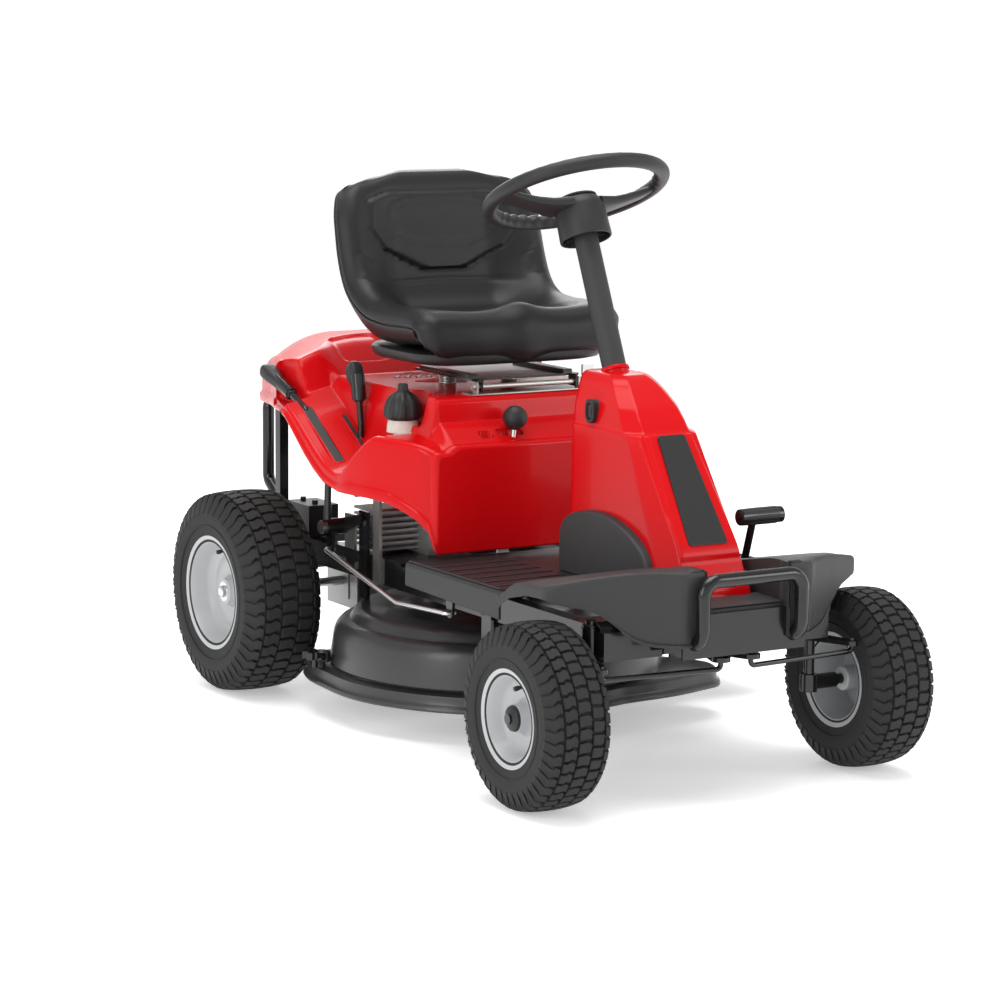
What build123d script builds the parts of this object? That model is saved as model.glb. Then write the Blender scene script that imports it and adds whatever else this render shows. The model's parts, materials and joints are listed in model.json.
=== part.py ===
from build123d import *
import math
import os

# Riding lawn mower, as separate named pieces. Millimetres, +Z up, the front of the machine
# faces -Y, and +X is the driver's left. The pieces are drawn with x = 0 on the centre plane,
# y = 0 at the front axle and z = 0 on the ground, and save() moves them to the file's origin,
# which is the middle of the machine's footprint.

# ---- driving dimensions
WHEELBASE = 1149.0
OVERALL_H = 1118.0          # top of the steering wheel
REAR_REACH = 1434.0         # rear guard tube, from the front axle
FRONT_R, FRONT_W, FRONT_X = 166.0, 125.0, 346.6     # front tyre radius, width, half track
REAR_R, REAR_W, REAR_X = 203.0, 165.0, 332.75       # rear tyre radius, width, half track
CHUTE_REACH = 576.0         # outer edge of the discharge chute
FRONT_BEAD, REAR_BEAD = 76.0, 102.0                 # rim barrel radii
HUB_BORE = 9.55             # wheel bore on a 19 mm axle
CLEAR = 0.3                 # between bodies that move past each other

TILT = math.radians(24.0)   # steering column, back from vertical
COL_Y, COL_Z = 395.0, 938.0                         # a point on the column axis
WHEEL_RING_R, GRIP_R = 164.0, 14.0
JOINT_Z = 322.0             # ball joint at the foot of the column
MODULE, PINION_N, SECTOR_N = 4.0, 12, 82            # steering gear, internal sector
PINION_Y = COL_Y - (COL_Z - JOINT_Z) * math.tan(TILT)
SECTOR_Y = PINION_Y - MODULE * (SECTOR_N - PINION_N) / 2    # sector pivot
SECTOR_Z = 250.0            # underside of the sector plate
ARM_DX, ARM_DY = 32.0, 85.0                         # steering arm, outwards and forwards
KING_X = 236.0
LINK_Z, LINK_R = 236.0, 4.75
ROCK_Z = 290.0              # front axle rocks about this line

RAIL_IN, RAIL_OUT = 160.0, 190.0
RAIL_Z0, RAIL_Z1 = 250.0, 298.0
BOARD_Z = 350.0             # top of the running board
BODY_X = 332.0              # rear body half width
SEAT_BASE_Z = 645.0

DECK_Y = 715.0              # blade spindle
DOME_R, DOME_TOP = 328.0, 212.0
SKIRT_X = 372.0
BLADE_R = 316.0
CRANK_Y = 905.0
LIFT_Y, LIFT_Z = 970.0, 350.0                       # lift lever pivot
BELL_Y, BELL_Z = 492.0, 300.0                       # front lift bell crank pivot
ROD_ARM, LIFT_ARM = 45.0, 75.0
LIFT_TILT = math.radians(17.2)
KEY_X, KEY_Y = 190.0, 690.0
SWITCH_Y, SWITCH_Z = 262.0, 652.0

ORIGIN_X = (CHUTE_REACH - (REAR_X + REAR_W / 2)) / 2
ORIGIN_Y = (REAR_REACH - FRONT_R) / 2


# ---- helpers
def save(name, shape):
    """Move a piece to the file's origin and write it out."""
    export_step(Pos(-ORIGIN_X, -ORIGIN_Y, 0) * shape, f"parts/{name}.step")


def block(x0, x1, y0, y1, z0, z1):
    return Pos((x0 + x1) / 2, (y0 + y1) / 2, (z0 + z1) / 2) * Box(x1 - x0, y1 - y0, z1 - z0)


def rod(p, q, r):
    """Round bar of radius r between two points."""
    start, run = Vector(*p), Vector(*q) - Vector(*p)
    return Solid.make_cylinder(r, run.length, Plane(origin=start, z_dir=run))


def ring(p, q, r_out, r_in):
    """Tube between two points."""
    run = (Vector(*q) - Vector(*p)).normalized()
    longer = Vector(*p) - run, Vector(*q) + run
    return rod(p, q, r_out) - rod(tuple(longer[0]), tuple(longer[1]), r_in)


def bent_rod(points, r, bend):
    """Round bar swept along straight runs joined by bends."""
    path = FilletPolyline(*points, radius=bend)
    start = Plane(origin=path @ 0, z_dir=path % 0)
    return sweep(start * Circle(r), path=path)


def side_prism(points, x0, x1):
    """Extrude an outline drawn in (y, z) from x0 to x1."""
    plane = Plane(origin=(x0, 0, 0), x_dir=(0, 1, 0), z_dir=(1, 0, 0))
    return extrude(plane * make_face(Polyline(*points, close=True)), amount=x1 - x0)


def plan_prism(points, z0, z1):
    """Extrude an outline drawn in (x, y) from z0 to z1."""
    return extrude(Pos(0, 0, z0) * make_face(Polyline(*points, close=True)), amount=z1 - z0)


def link_plate(p, r_p, q, r_q, z0, z1):
    """Flat plate with round ends, lying in plan between two centres."""
    edges = (Pos(*p) * Circle(r_p)).edges() + (Pos(*q) * Circle(r_q)).edges()
    return Pos(0, 0, z0) * extrude(make_hull(edges), amount=z1 - z0)


def side_link(p, r_p, q, r_q, x0, x1):
    """Flat plate with round ends, standing in (y, z) between two centres."""
    edges = (Pos(*p) * Circle(r_p)).edges() + (Pos(*q) * Circle(r_q)).edges()
    plane = Plane(origin=(x0, 0, 0), x_dir=(0, 1, 0), z_dir=(1, 0, 0))
    return plane * extrude(make_hull(edges), amount=x1 - x0)


def both(shape):
    """A piece and its mirror image across the centre plane."""
    return shape + mirror(shape, about=Plane.YZ)


def spin(points):
    """Revolve an outline drawn in (x, r) about the X axis."""
    return revolve(make_face(Polyline(*points, close=True)), axis=Axis.X, revolution_arc=360)


def column_point(z):
    """A point on the steering column's axis at height z."""
    return (0, COL_Y - (COL_Z - z) * math.tan(TILT), z)


def along_column(distance):
    """A point on the column axis, measured up it from the column's reference point."""
    return (0, COL_Y + distance * math.sin(TILT), COL_Z + distance * math.cos(TILT))


def gear_outline(teeth, thickness_change, tip, root):
    """Involute outline of an external gear, drawn round the origin."""
    pressure = math.radians(25.0)
    pitch_r = MODULE * teeth / 2
    base_r = pitch_r * math.cos(pressure)
    half = math.pi / (2 * teeth) + thickness_change / (2 * pitch_r)
    roll_at_pitch = math.tan(pressure) - pressure
    points = []
    for tooth in range(teeth):
        middle = 2 * math.pi * tooth / teeth
        flank = []
        for step in range(7):
            r = max(root, base_r) + (tip - max(root, base_r)) * step / 6
            lean = math.acos(min(1.0, base_r / r))
            angle = half + roll_at_pitch - (math.tan(lean) - lean)
            flank.append((r, angle))
        side = [(root, flank[0][1])] if root < base_r else []
        side += flank
        points += [(r, middle - a) for r, a in side]
        points += [(r, middle + a) for r, a in reversed(side)]
    return [(r * math.cos(a), r * math.sin(a)) for r, a in points]


# ---- wheels
def tyre(radius, width, bead, rim_half):
    """Hollow tyre carcass on its X axis, beads against the rim barrel."""
    half, wall = width / 2, 9.0
    mid = (bead + radius) / 2
    outer = [(-rim_half, bead), (-rim_half, bead + 15), (-half, mid - 6), (-half, mid + 12),
             (-half * 0.86, radius - 12), (-half * 0.62, radius - 3), (-half * 0.3, radius)]
    inner = [(-rim_half + 8, bead), (-rim_half + 8, bead + 14), (-half + wall, mid - 4),
             (-half + wall, mid + 8), (-half * 0.72, radius - 2 * wall), (-half * 0.3, radius - 1.6 * wall)]
    right = [(-x, r) for x, r in reversed(outer)]
    back = [(-x, r) for x, r in inner]
    return spin(outer + right + back + list(reversed(inner)))


def rim(bead, rim_half, flange, disc_at):
    """Pressed rim on its X axis, its dished side towards +X, with a hub tube."""
    hub_r, skin = 21.0, 3.0
    barrel = spin([(-rim_half - 3, flange), (-rim_half - 0.1, flange), (-rim_half - 0.1, bead),
                   (rim_half + 0.1, bead), (rim_half + 0.1, flange), (rim_half + 3, flange),
                   (rim_half + 3, bead - skin), (-rim_half - 3, bead - skin)])
    disc = spin([(disc_at, HUB_BORE + 2), (disc_at, hub_r + 18), (disc_at - 12, bead - 1),
                 (disc_at - 16, bead - 1), (disc_at - 4, hub_r + 18), (disc_at - 4, HUB_BORE + 2)])
    hub = spin([(-rim_half + 6, HUB_BORE), (-rim_half + 6, hub_r), (disc_at + 5, hub_r),
                (disc_at + 5, HUB_BORE)])
    return barrel + disc + hub


def place_wheel(shape, side, x, y, z):
    """Put a wheel piece drawn on the X axis in its place, outer face outwards."""
    turned = shape if side > 0 else mirror(shape, about=Plane.YZ)
    return Pos(side * x, y, z) * turned


def hub_cap():
    """Domed cap over the end of the front axle, drawn from x = 0."""
    return spin([(0, 0), (0, 22), (14, 22), (18, 18), (20, 0)]) - rod((-1, 0, 0), (13, 0, 0), 17)


def valve_stem():
    return rod((0, 0, 0), (26, 0, 0), 5)


def rear_axle(side):
    """Drive shaft from the transaxle out through the wheel's hub, with its keyed end."""
    inner, outer = side * 112.0, side * (REAR_X + 42)
    shaft = rod((inner, WHEELBASE, REAR_R), (outer, WHEELBASE, REAR_R), HUB_BORE)
    collar = ring((side * 256, WHEELBASE, REAR_R), (side * 261, WHEELBASE, REAR_R), 17, HUB_BORE)
    return shaft + collar


# ---- frame and front axle
def frame():
    rails = both(block(RAIL_IN, RAIL_OUT, 95, 1330, RAIL_Z0, RAIL_Z1)
                 - block(RAIL_IN - 1, RAIL_OUT - 4, 150, 1320, RAIL_Z0 + 4, RAIL_Z1 - 4))
    cross = block(-RAIL_IN, RAIL_IN, 95, 145, 284, RAIL_Z1)
    cross -= rod((0, PINION_Y, 280), (0, PINION_Y, 300), 8.05)
    cross += block(-RAIL_IN, RAIL_IN, 540, 575, RAIL_Z1 - 4, RAIL_Z1)
    cross += block(-RAIL_IN, RAIL_IN, 1034, 1070, RAIL_Z1 - 4, RAIL_Z1)
    cross += block(-RAIL_OUT, RAIL_OUT, 1330, 1336, RAIL_Z0, RAIL_Z1)
    nose = block(-130, 130, -130, 95, 336, 341)
    nose += block(-130, 130, -130, -126, 265, 336)
    nose -= both(rod((104, -135, 292), (104, -120, 292), 13.2))
    for y in (-72, 20):
        nose += block(-130, 130, y, y + 6, 266, 336) - rod((0, y - 1, ROCK_Z), (0, y + 7, ROCK_Z), 8)
    strap = block(-32, 32, -72, 26, 262, 266)
    strap -= rod((0, SECTOR_Y, 260), (0, SECTOR_Y, 268), 6)
    nose += both(block(100, 130, 26, 95, 332, 336)) + strap
    step = both(block(100, 130, 89, 95, RAIL_Z1 - 14, 336))
    posts = both(block(150, 170, 1312, 1333, RAIL_Z1, 575)) + block(-150, 150, 1318, 1333, 560, 575)
    plate = block(-RAIL_OUT, RAIL_OUT, 760, 1040, RAIL_Z1, RAIL_Z1 + 5)
    plate -= rod((0, CRANK_Y, 290), (0, CRANK_Y, 310), 26)
    return rails + cross + nose + step + posts + plate + hitch_plate()


def axle_pivot_bolt():
    """Bolt the front axle rocks on."""
    shaft = rod((0, -78, ROCK_Z), (0, 40, ROCK_Z), 8)
    head = Pos(0, -76, ROCK_Z) * Rot(90, 0, 0) * extrude(RegularPolygon(13, 6), amount=8)
    nut = Pos(0, 34, ROCK_Z) * Rot(90, 0, 0) * extrude(RegularPolygon(13, 6), amount=8)
    return shaft + head + nut


def axle_beam():
    """Rocking front axle, arched in the middle, with a king-pin boss at each end."""
    outline = [(-240, 258), (-120, 258), (-105, 272), (105, 272), (120, 258), (240, 258),
               (240, 309), (-240, 309)]
    plane = Plane(origin=(0, -4, 0), x_dir=(1, 0, 0), z_dir=(0, -1, 0))
    beam = extrude(plane * make_face(Polyline(*outline, close=True)), amount=46)
    beam += rod((0, -65.7, ROCK_Z), (0, 19.7, ROCK_Z), 17)
    beam += both(rod((KING_X, 0, 258), (KING_X, 0, 312), 17))
    beam -= rod((0, -70, ROCK_Z), (0, 25, ROCK_Z), 8.05)
    return beam - both(rod((KING_X, 0, 250), (KING_X, 0, 320), 9.55))


def spindle(side):
    """King pin, stub axle and steering arm of one front wheel."""
    x, arm_x = side * KING_X, side * (KING_X + ARM_DX)
    pin = rod((x, 0, 150), (x, 0, 324), 9.5) + rod((x, 0, 150), (x, 0, 182), 16)
    stub = rod((x, 0, FRONT_R), (side * (FRONT_X + 58), 0, FRONT_R), HUB_BORE - 0.05)
    stub += rod((x, 0, FRONT_R), (side * (FRONT_X - 53), 0, FRONT_R), 14)
    arm = link_plate((x, 0), 17, (arm_x, -ARM_DY), 11, 247, 255)
    arm -= rod((arm_x, -ARM_DY, 240), (arm_x, -ARM_DY, 260), LINK_R + 0.05)
    washer = ring((x, 0, 312.3), (x, 0, 316), 15, 9.5)
    return pin + stub + arm + washer


def drag_link(side):
    """Rod between a steering arm and the sector, its ends bent up through their holes."""
    outer, inner = side * (KING_X + ARM_DX), side * ARM_DX
    points = [(outer, -ARM_DY, 260.5), (outer, -ARM_DY, LINK_Z), (inner, SECTOR_Y - ARM_DY, LINK_Z),
              (inner, SECTOR_Y - ARM_DY, 260.5)]
    return bent_rod(points, LINK_R, 9)


def steering_sector():
    """Sector plate: internal teeth behind its pivot, both link pins in front."""
    ring_r = MODULE * SECTOR_N / 2
    outline = gear_outline(SECTOR_N, 0.8, ring_r + 1.25 * MODULE, ring_r - 0.75 * MODULE)
    teeth = extrude(make_face(Polyline(*outline, close=True)), amount=8)
    spread = math.radians(52)
    wedge = [(0, 0), (-310 * math.sin(spread), 310 * math.cos(spread)),
             (310 * math.sin(spread), 310 * math.cos(spread))]
    sector = extrude(Circle(ring_r + 18), amount=8) - extrude(Circle(ring_r - 3), amount=8)
    sector = sector & extrude(make_face(Polyline(*wedge, close=True)), amount=8)
    sector -= Rot(0, 0, 90 + 180 / SECTOR_N) * teeth
    arms = Part() + link_plate((0, 0), 22, (0, 60), 14, 0, 8)
    for side in (-1, 1):
        spoke = math.radians(47)
        reach = (side * (ring_r + 9) * math.sin(spoke), (ring_r + 9) * math.cos(spoke))
        arms += link_plate((0, 0), 16, reach, 8, 0, 8)
        arms += link_plate((0, 0), 20, (side * ARM_DX, -ARM_DY), 17, 0, 8)
        arms -= Pos(side * ARM_DX, -ARM_DY, -1) * extrude(Circle(9), amount=10)
    arms -= Pos(0, 0, -1) * extrude(Circle(6.05), amount=10)
    cut_back = extrude(Circle(ring_r + 5), amount=8) - extrude(Circle(ring_r - 20), amount=8)
    arms -= cut_back & Pos(0, 120, 0) * Box(90, 100, 20)
    return Pos(0, SECTOR_Y, SECTOR_Z) * (sector + arms)


def sector_bolt():
    """Pivot bolt of the steering sector, through the strap under the axle."""
    shaft = rod((0, SECTOR_Y, 240), (0, SECTOR_Y, 266), 6)
    head = Pos(0, SECTOR_Y, 266) * extrude(RegularPolygon(9, 6), amount=3.5)
    nut = Pos(0, SECTOR_Y, 241) * extrude(RegularPolygon(10, 6), amount=8.7)
    return shaft + head + nut


def pinion_shaft():
    """Upright shaft with the steering pinion below and the ball joint's cup above."""
    pitch_r = MODULE * PINION_N / 2
    outline = gear_outline(PINION_N, -0.8, pitch_r + 0.7 * MODULE, pitch_r - 1.1 * MODULE)
    teeth = extrude(make_face(Polyline(*outline, close=True)), amount=12)
    turned = Rot(0, 0, 90 + 180 / PINION_N) * teeth
    y = column_point(JOINT_Z)[1]
    shaft = Pos(0, y, 248) * turned + rod((0, y, 260), (0, y, 306), 8)
    shaft += ring((0, y, 298.3), (0, y, 303), 14, 8)
    cup = rod((0, y, 303), (0, y, JOINT_Z + 4), 18)
    return shaft + cup - Pos(0, y, JOINT_Z) * Sphere(14 + CLEAR)


def steering_shaft():
    """Shaft up the column from the ball joint to the steering wheel hub."""
    foot = column_point(JOINT_Z)
    return rod(foot, along_column(80), 8) + Pos(*foot) * Sphere(14) + steering_bolt()


# ---- steering column and wheel
def column_tube():
    """Outer column tube from inside the tower to just under the hub."""
    tube = ring(column_point(600), along_column(30), 22.5, 19.5)
    for distance in (-350, 20):
        tube += ring(along_column(distance), along_column(distance + 10), 19.6, 8.06)
    return tube


def wheel_plane():
    """Plane of the steering wheel's ring, seen from along the column."""
    centre_z = OVERALL_H - GRIP_R - WHEEL_RING_R * math.sin(TILT)
    normal = Vector(0, math.sin(TILT), math.cos(TILT))
    return Plane(origin=Vector(*column_point(centre_z)), x_dir=(1, 0, 0), z_dir=normal)


def steering_wheel():
    """Ring grip with two deep side spokes and a hub skirt that covers the column's end."""
    grip = Torus(WHEEL_RING_R, GRIP_R)
    hub_low, hub_high = -92.0, -30.0
    skirt = Pos(0, 0, hub_low) * Cone(42, 34, hub_high - hub_low,
                                      align=(Align.CENTER, Align.CENTER, Align.MIN))
    skirt -= Pos(0, 0, hub_low - 1) * Cylinder(36, 31, align=(Align.CENTER, Align.CENTER, Align.MIN))
    skirt -= Pos(0, 0, hub_low - 1) * Cylinder(8, 80, align=(Align.CENTER, Align.CENTER, Align.MIN))
    spokes = Part()
    for side in (-1, 1):
        web = loft([Pos(side * 28, 0, -46) * Rot(0, 90, 0) * Rectangle(24, 56),
                    Pos(side * 95, 0, -28) * Rot(0, 90, 0) * Rectangle(17, 44),
                    Pos(side * 158, 0, -3) * Rot(0, 90, 0) * Rectangle(12, 60)])
        spokes += web
    return wheel_plane() * (grip + skirt + spokes)


def steering_hub_cap():
    """Domed cover in the middle of the steering wheel."""
    cap = Pos(0, 0, -30) * Cone(33, 26, 12, align=(Align.CENTER, Align.CENTER, Align.MIN))
    cap -= Pos(0, 0, -31) * Cylinder(21, 10.5, align=(Align.CENTER, Align.CENTER, Align.MIN))
    return wheel_plane() * cap


def steering_bolt():
    """Washer and nut on top of the hub, under its cap, holding the wheel on its shaft."""
    nut = Pos(0, 0, -28) * extrude(RegularPolygon(13, 6), amount=6)
    washer = Pos(0, 0, -30) * Cylinder(20, 2, align=(Align.CENTER, Align.CENTER, Align.MIN))
    return wheel_plane() * (nut + washer)


# ---- front covers
def tower_section(z, front, rear, half, round_r):
    """Rounded plan section of the steering tower."""
    depth = rear - front
    return Pos(0, (front + rear) / 2, z) * RectangleRounded(2 * half, depth, round_r)


def tower_cover():
    """Red tower round the steering column, open below."""
    outer = [(350, -50, 335, 86, 14), (440, -8.2, 332, 78, 14), (620, 119.4, 335, 72, 14),
             (640, 138, 338, 70, 14), (718, 222, 352, 40, 14)]
    skin = 3.5
    solid = loft([tower_section(*row) for row in outer], ruled=True)
    inner = [(z - (skin + 1 if z > 700 else 0), f + skin, r - skin, h - skin, c - skin)
             for z, f, r, h, c in outer]
    inner[0] = (349, *inner[0][1:])
    solid -= loft([tower_section(*row) for row in inner], ruled=True)
    switch_hole = Pos(-30, SWITCH_Y, SWITCH_Z) * Rot(0, -90, 0) * extrude(SlotOverall(42, 28), amount=60)
    return solid - rod(column_point(600), column_point(760), 23) - switch_hole


def tower_panel():
    """Flat plain panel let on to the tower's sloping front."""
    low, high = Vector(0, -7.5, 441), Vector(0, 118, 618)
    rise = (high - low).normalized()
    out = Vector(0, -rise.Z, rise.Y)
    plane = Plane(origin=low + out * 0.1, x_dir=(1, 0, 0), z_dir=out)
    length = (high - low).length
    return plane * extrude(make_face(Polyline((-41, 0), (41, 0), (29, length), (-29, length), close=True)),
                           amount=3)


def fender_moulding():
    """Moulded front fenders, toe boards and nose round the foot of the tower."""
    plan = [(95, 200), (300, 200), (332, 150), (332, -6), (166, -112), (136, -138), (95, -138)]
    top = [(200, 346), (170, 349), (110, 380), (0, 400), (-105, 418), (-140, 420), (-140, 366),
           (200, 326)]
    shape = plan_prism(plan, 300, 440) & side_prism(top, 0, 400)
    hollow_plan = [(60, 205), (296, 205), (327.5, 148), (327.5, -3), (164, -107), (134, -133), (60, -133)]
    hollow_top = [(205, 340), (170, 344), (112, 375), (0, 395), (-104, 413), (-134, 415), (-134, 340),
                  (205, 300)]
    shape -= plan_prism(hollow_plan, 290, 440) & side_prism(hollow_top, 0, 400)
    shape -= block(138, 162, 16, 114, 330, 430)
    nose = block(89.5, 95, -134, 200, 346, 400)
    nose += plan_prism([(0, -138), (136, -138), (166, -112), (160, -108), (132, -133), (0, -133)], 290, 366)
    nose -= block(90, 118, -160, -60, 278, 314)
    nose += block(0, 89.5, -140, -56, 346, 350)
    return both(shape + nose) + tower_wing()


def tower_wing():
    """Quarter-round side cheeks that carry the fenders up the tower's sides."""
    arc = [(40, 352), (40, 470), (70, 486), (120, 494), (180, 492), (240, 478), (262, 460), (262, 352)]
    return both(side_prism(arc, 89, 94) + side_prism(arc, 94, 108) - side_prism(
        [(45, 346), (45, 464), (72, 480), (120, 488), (180, 486), (238, 472), (256, 456), (256, 346)],
        94, 104))


def running_board():
    """Flat foot board with side skirts and an inner lip against the rear body."""
    top = block(-300, 300, 200.3, 545, 345, BOARD_Z)
    top -= block(-96, 96, 199, 345, 340, 352)
    skirt = side_prism([(200.3, 296), (545, 302), (545, 345), (200.3, 345)], 294, 300)
    ribs = Part()
    for row in range(7):
        for x in (-265, 265):
            ribs += block(x - 28, x + 28, 240 + row * 40, 246 + row * 40, BOARD_Z, BOARD_Z + 2)
    legs = both(block(166, 184, 250, 268, RAIL_Z1, 345) + block(166, 184, 500, 518, RAIL_Z1, 345))
    return top + both(skirt) + ribs + legs


def front_bumper():
    """Bent tube guard in front of the nose."""
    side = [(-104, -80, 292), (-104, -153.4, 292), (-104, -153.4, 404)]
    points = side + [(-x, y, z) for x, y, z in reversed(side)]
    tube = bent_rod(points, 12.5, 28)
    return tube + both(rod((104, -126, 292), (104, -121, 292), 19))


def switch_case():
    """Oval rocker housing on the tower's near side."""
    body = Pos(-50, SWITCH_Y, SWITCH_Z) * Rot(0, -90, 0) * extrude(SlotOverall(42, 28), amount=24)
    body -= Pos(-70, SWITCH_Y, SWITCH_Z) * Box(20, 12.6, 26.4)
    return body - rod((-71, SWITCH_Y - 10, SWITCH_Z), (-71, SWITCH_Y + 10, SWITCH_Z), 1.55)


def switch_housings():
    """Rocker housing and key barrel let into the tower."""
    return Compound([switch_case(), key_barrel()])


def switch_rocker():
    """Rocker blade that tips inside its housing."""
    pin = rod((-71, SWITCH_Y - 9.6, SWITCH_Z), (-71, SWITCH_Y + 9.6, SWITCH_Z), 1.5)
    return Pos(-71, SWITCH_Y, SWITCH_Z) * Box(12, 12, 24) + pin


def key_barrel():
    barrel = rod((KEY_X, KEY_Y, 622), (KEY_X, KEY_Y, 655), 13)
    barrel += rod((KEY_X, KEY_Y, 648), (KEY_X, KEY_Y, 655), 17)
    return barrel - rod((KEY_X, KEY_Y, 630), (KEY_X, KEY_Y, 660), 6.3)


def ignition_key():
    """Key with a flat bow, turning in the barrel."""
    return rod((KEY_X, KEY_Y, 632), (KEY_X, KEY_Y, 660), 6) + Pos(KEY_X, KEY_Y, 670) * Box(26, 5, 22)


def pedal_arm():
    """Brake and clutch pedal arm on its cross pivot."""
    points = [(150, 108, 324), (150, 92, 372), (150, 62, 468)]
    arm = bent_rod(points, 7, 20) - rod((130, 110, 316), (170, 110, 316), 7.05)
    arm += ring((138, 110, 316), (162, 110, 316), 12, 7.05)
    return arm + rod((114, 60, 470), (206, 60, 470), 7)


def pedal_pad():
    """Rubber sleeve on the pedal's bar."""
    return ring((118, 60, 470), (208, 60, 470), 15, 7)


def pedal():
    """Pedal arm with its rubber pad."""
    return Compound([pedal_arm(), pedal_pad()])


def pedal_pivot():
    """Pivot pin of the pedal, carried by two ears on the front cross member."""
    pin = rod((130, 110, 316), (170, 110, 316), 7)
    ears = block(130, 134, 96, 124, RAIL_Z1, 328) + block(166, 170, 96, 124, RAIL_Z1, 328)
    return pin + ears


# ---- rear body
BODY_TOP = [(520, 350), (520, 560), (592, 574), (596, SEAT_BASE_Z), (900, 648), (985, 668), (1073, 716),
            (1240, 708), (1330, 650), (1362, 590)]
BODY_LOW = [(1340, 560), (1000, 570), (955, 572), (904, 556), (821, 509), (735, 493), (606, 449),
            (564, 387), (545, 350)]
SHOULDER = [(520, 350), (520, 545), (560, 560), (700, 572), (790, 566), (900, 585), (1000, 598),
            (1120, 618), (1290, 622), (1362, 590)]


def inset(points, by):
    """Move every edge of a closed (y, z) outline inwards by a fixed distance."""
    count = len(points)
    area = sum(points[i - 1][0] * points[i][1] - points[i][0] * points[i - 1][1] for i in range(count))
    turn = 1 if area > 0 else -1
    lines = []
    for i in range(count):
        (y0, z0), (y1, z1) = points[i - 1], points[i]
        length = math.hypot(y1 - y0, z1 - z0)
        lines.append((-turn * (z1 - z0) / length, turn * (y1 - y0) / length, y0, z0))
    result = []
    for i in range(count):
        (a, b, y0, z0), (c, d, y1, z1) = lines[i], lines[(i + 1) % count]
        e, f = a * y0 + b * z0 + by, c * y1 + d * z1 + by
        det = a * d - b * c
        result.append(((e * d - b * f) / det, (a * f - e * c) / det))
    return result


def body_slab(points, half):
    """Slab of the rear body from its side outline, both sides of the centre plane."""
    return side_prism(points, -half, half)


def rear_body():
    """Red seat base and engine cover with wide shoulders, open underneath."""
    skin = 5.0
    centre, sides = BODY_TOP + BODY_LOW, SHOULDER + BODY_LOW
    outer = body_slab(centre, 215) + body_slab(sides, BODY_X)
    taper = plan_prism([(262, 515), (340, 515), (340, 640)], 300, 720)
    tail = plan_prism([(196, 1370), (340, 1370), (340, 985)], 300, 760)
    outer -= both(taper + tail)
    inner = body_slab(inset(centre, skin), 215 - skin) + body_slab(inset(sides, skin), BODY_X - skin)
    open_foot = [(538, 300), (538, 400), (564, 420), (606, 470), (735, 507), (821, 525), (904, 572),
                 (955, 585), (1334, 578), (1334, 300)]
    inner += body_slab(open_foot, BODY_X - skin)
    taper_in = plan_prism([(252, 505), (345, 505), (345, 655)], 290, 720)
    tail_in = plan_prism([(189, 1375), (345, 1375), (345, 955)], 290, 760)
    inner -= both(taper_in + tail_in)
    body = outer - inner
    body -= rod((-222, 697, 500), (-222, 697, 700), 37)
    body -= rod((KEY_X, KEY_Y, 630), (KEY_X, KEY_Y, 660), 13)
    body -= block(-323, -275, 785, 1000, 480, 700)
    body -= block(-241, -219, 800, 900, 500, 640)
    body -= block(-110, -46, 536, 552, 540, 600)
    for row in range(6):
        body -= block(-135, 135, 1108 + row * 17, 1116 + row * 17, 690, 730)
    return body


def fuel_tank():
    """Tank under the near shoulder, with its filler neck."""
    tank = block(-300, -150, 610, 740, 455, 559)
    tank += rod((-222, 697, 559), (-222, 697, 612), 24)
    return tank - rod((-222, 697, 520), (-222, 697, 613), 19)


def fuel_cap():
    """Screw cap with grip ribs."""
    cap = rod((-222, 697, 597), (-222, 697, 632), 31)
    for step in range(8):
        cap += Pos(-222, 697, 614) * Rot(0, 0, step * 45) * Pos(31, 0, 0) * Box(8, 9, 34)
    return cap - rod((-222, 697, 590), (-222, 697, 618), 24.3)


def lever_panel():
    """Black slotted panel in the near shoulder recess, sloping up to the rear."""
    panel = side_prism([(785, 492), (1000, 596), (1000, 600), (785, 496)], -322, -276)
    return panel - block(-310, -290, 792, 975, 450, 650)


def lift_bar():
    """Deck height lever: arms under the frame, a joggled bar, and the handle."""
    hub = ring((-246, LIFT_Y, LIFT_Z), (-200, LIFT_Y, LIFT_Z), 16, 9.55)
    points = [(-240, LIFT_Y, LIFT_Z), (-240, 966, 470), (-300, 952, 560), (-300, 942, 588),
              (-300, 1000, 612), (-300, 1100, 645)]
    bar = bent_rod(points, 7, 12)
    bar -= rod((-260, LIFT_Y, LIFT_Z), (-190, LIFT_Y, LIFT_Z), 9.55)
    drop = side_link((LIFT_Y, LIFT_Z), 15, (LIFT_Y, LIFT_Z - ROD_ARM), 10, -236, -230)
    lift = side_link((LIFT_Y, LIFT_Z), 15, lift_pin(LIFT_Y, LIFT_Z), 10, -208, -202)
    arms = drop + lift - rod((-240, LIFT_Y, LIFT_Z), (-190, LIFT_Y, LIFT_Z), 9.55)
    pin_y, pin_z = lift_pin(LIFT_Y, LIFT_Z)
    arms += rod((-202, pin_y, pin_z), (-186, pin_y, pin_z), 4)
    arms -= rod((-240, LIFT_Y, LIFT_Z - ROD_ARM), (-226, LIFT_Y, LIFT_Z - ROD_ARM), 5.05)
    return hub + bar + arms


def lift_pin(y, z):
    """Where a lift arm's pin stands at rest, the arm pointing forwards and a little up."""
    return y - LIFT_ARM * math.cos(LIFT_TILT), z + LIFT_ARM * math.sin(LIFT_TILT)


def lift_grip():
    """Moulded grip on the end of the deck height lever."""
    return ring((-300, 1008, 614.6), (-300, 1112, 649), 12, 7)


def lift_lever():
    """Deck height lever with its grip."""
    return Compound([lift_bar(), lift_grip()])


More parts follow.
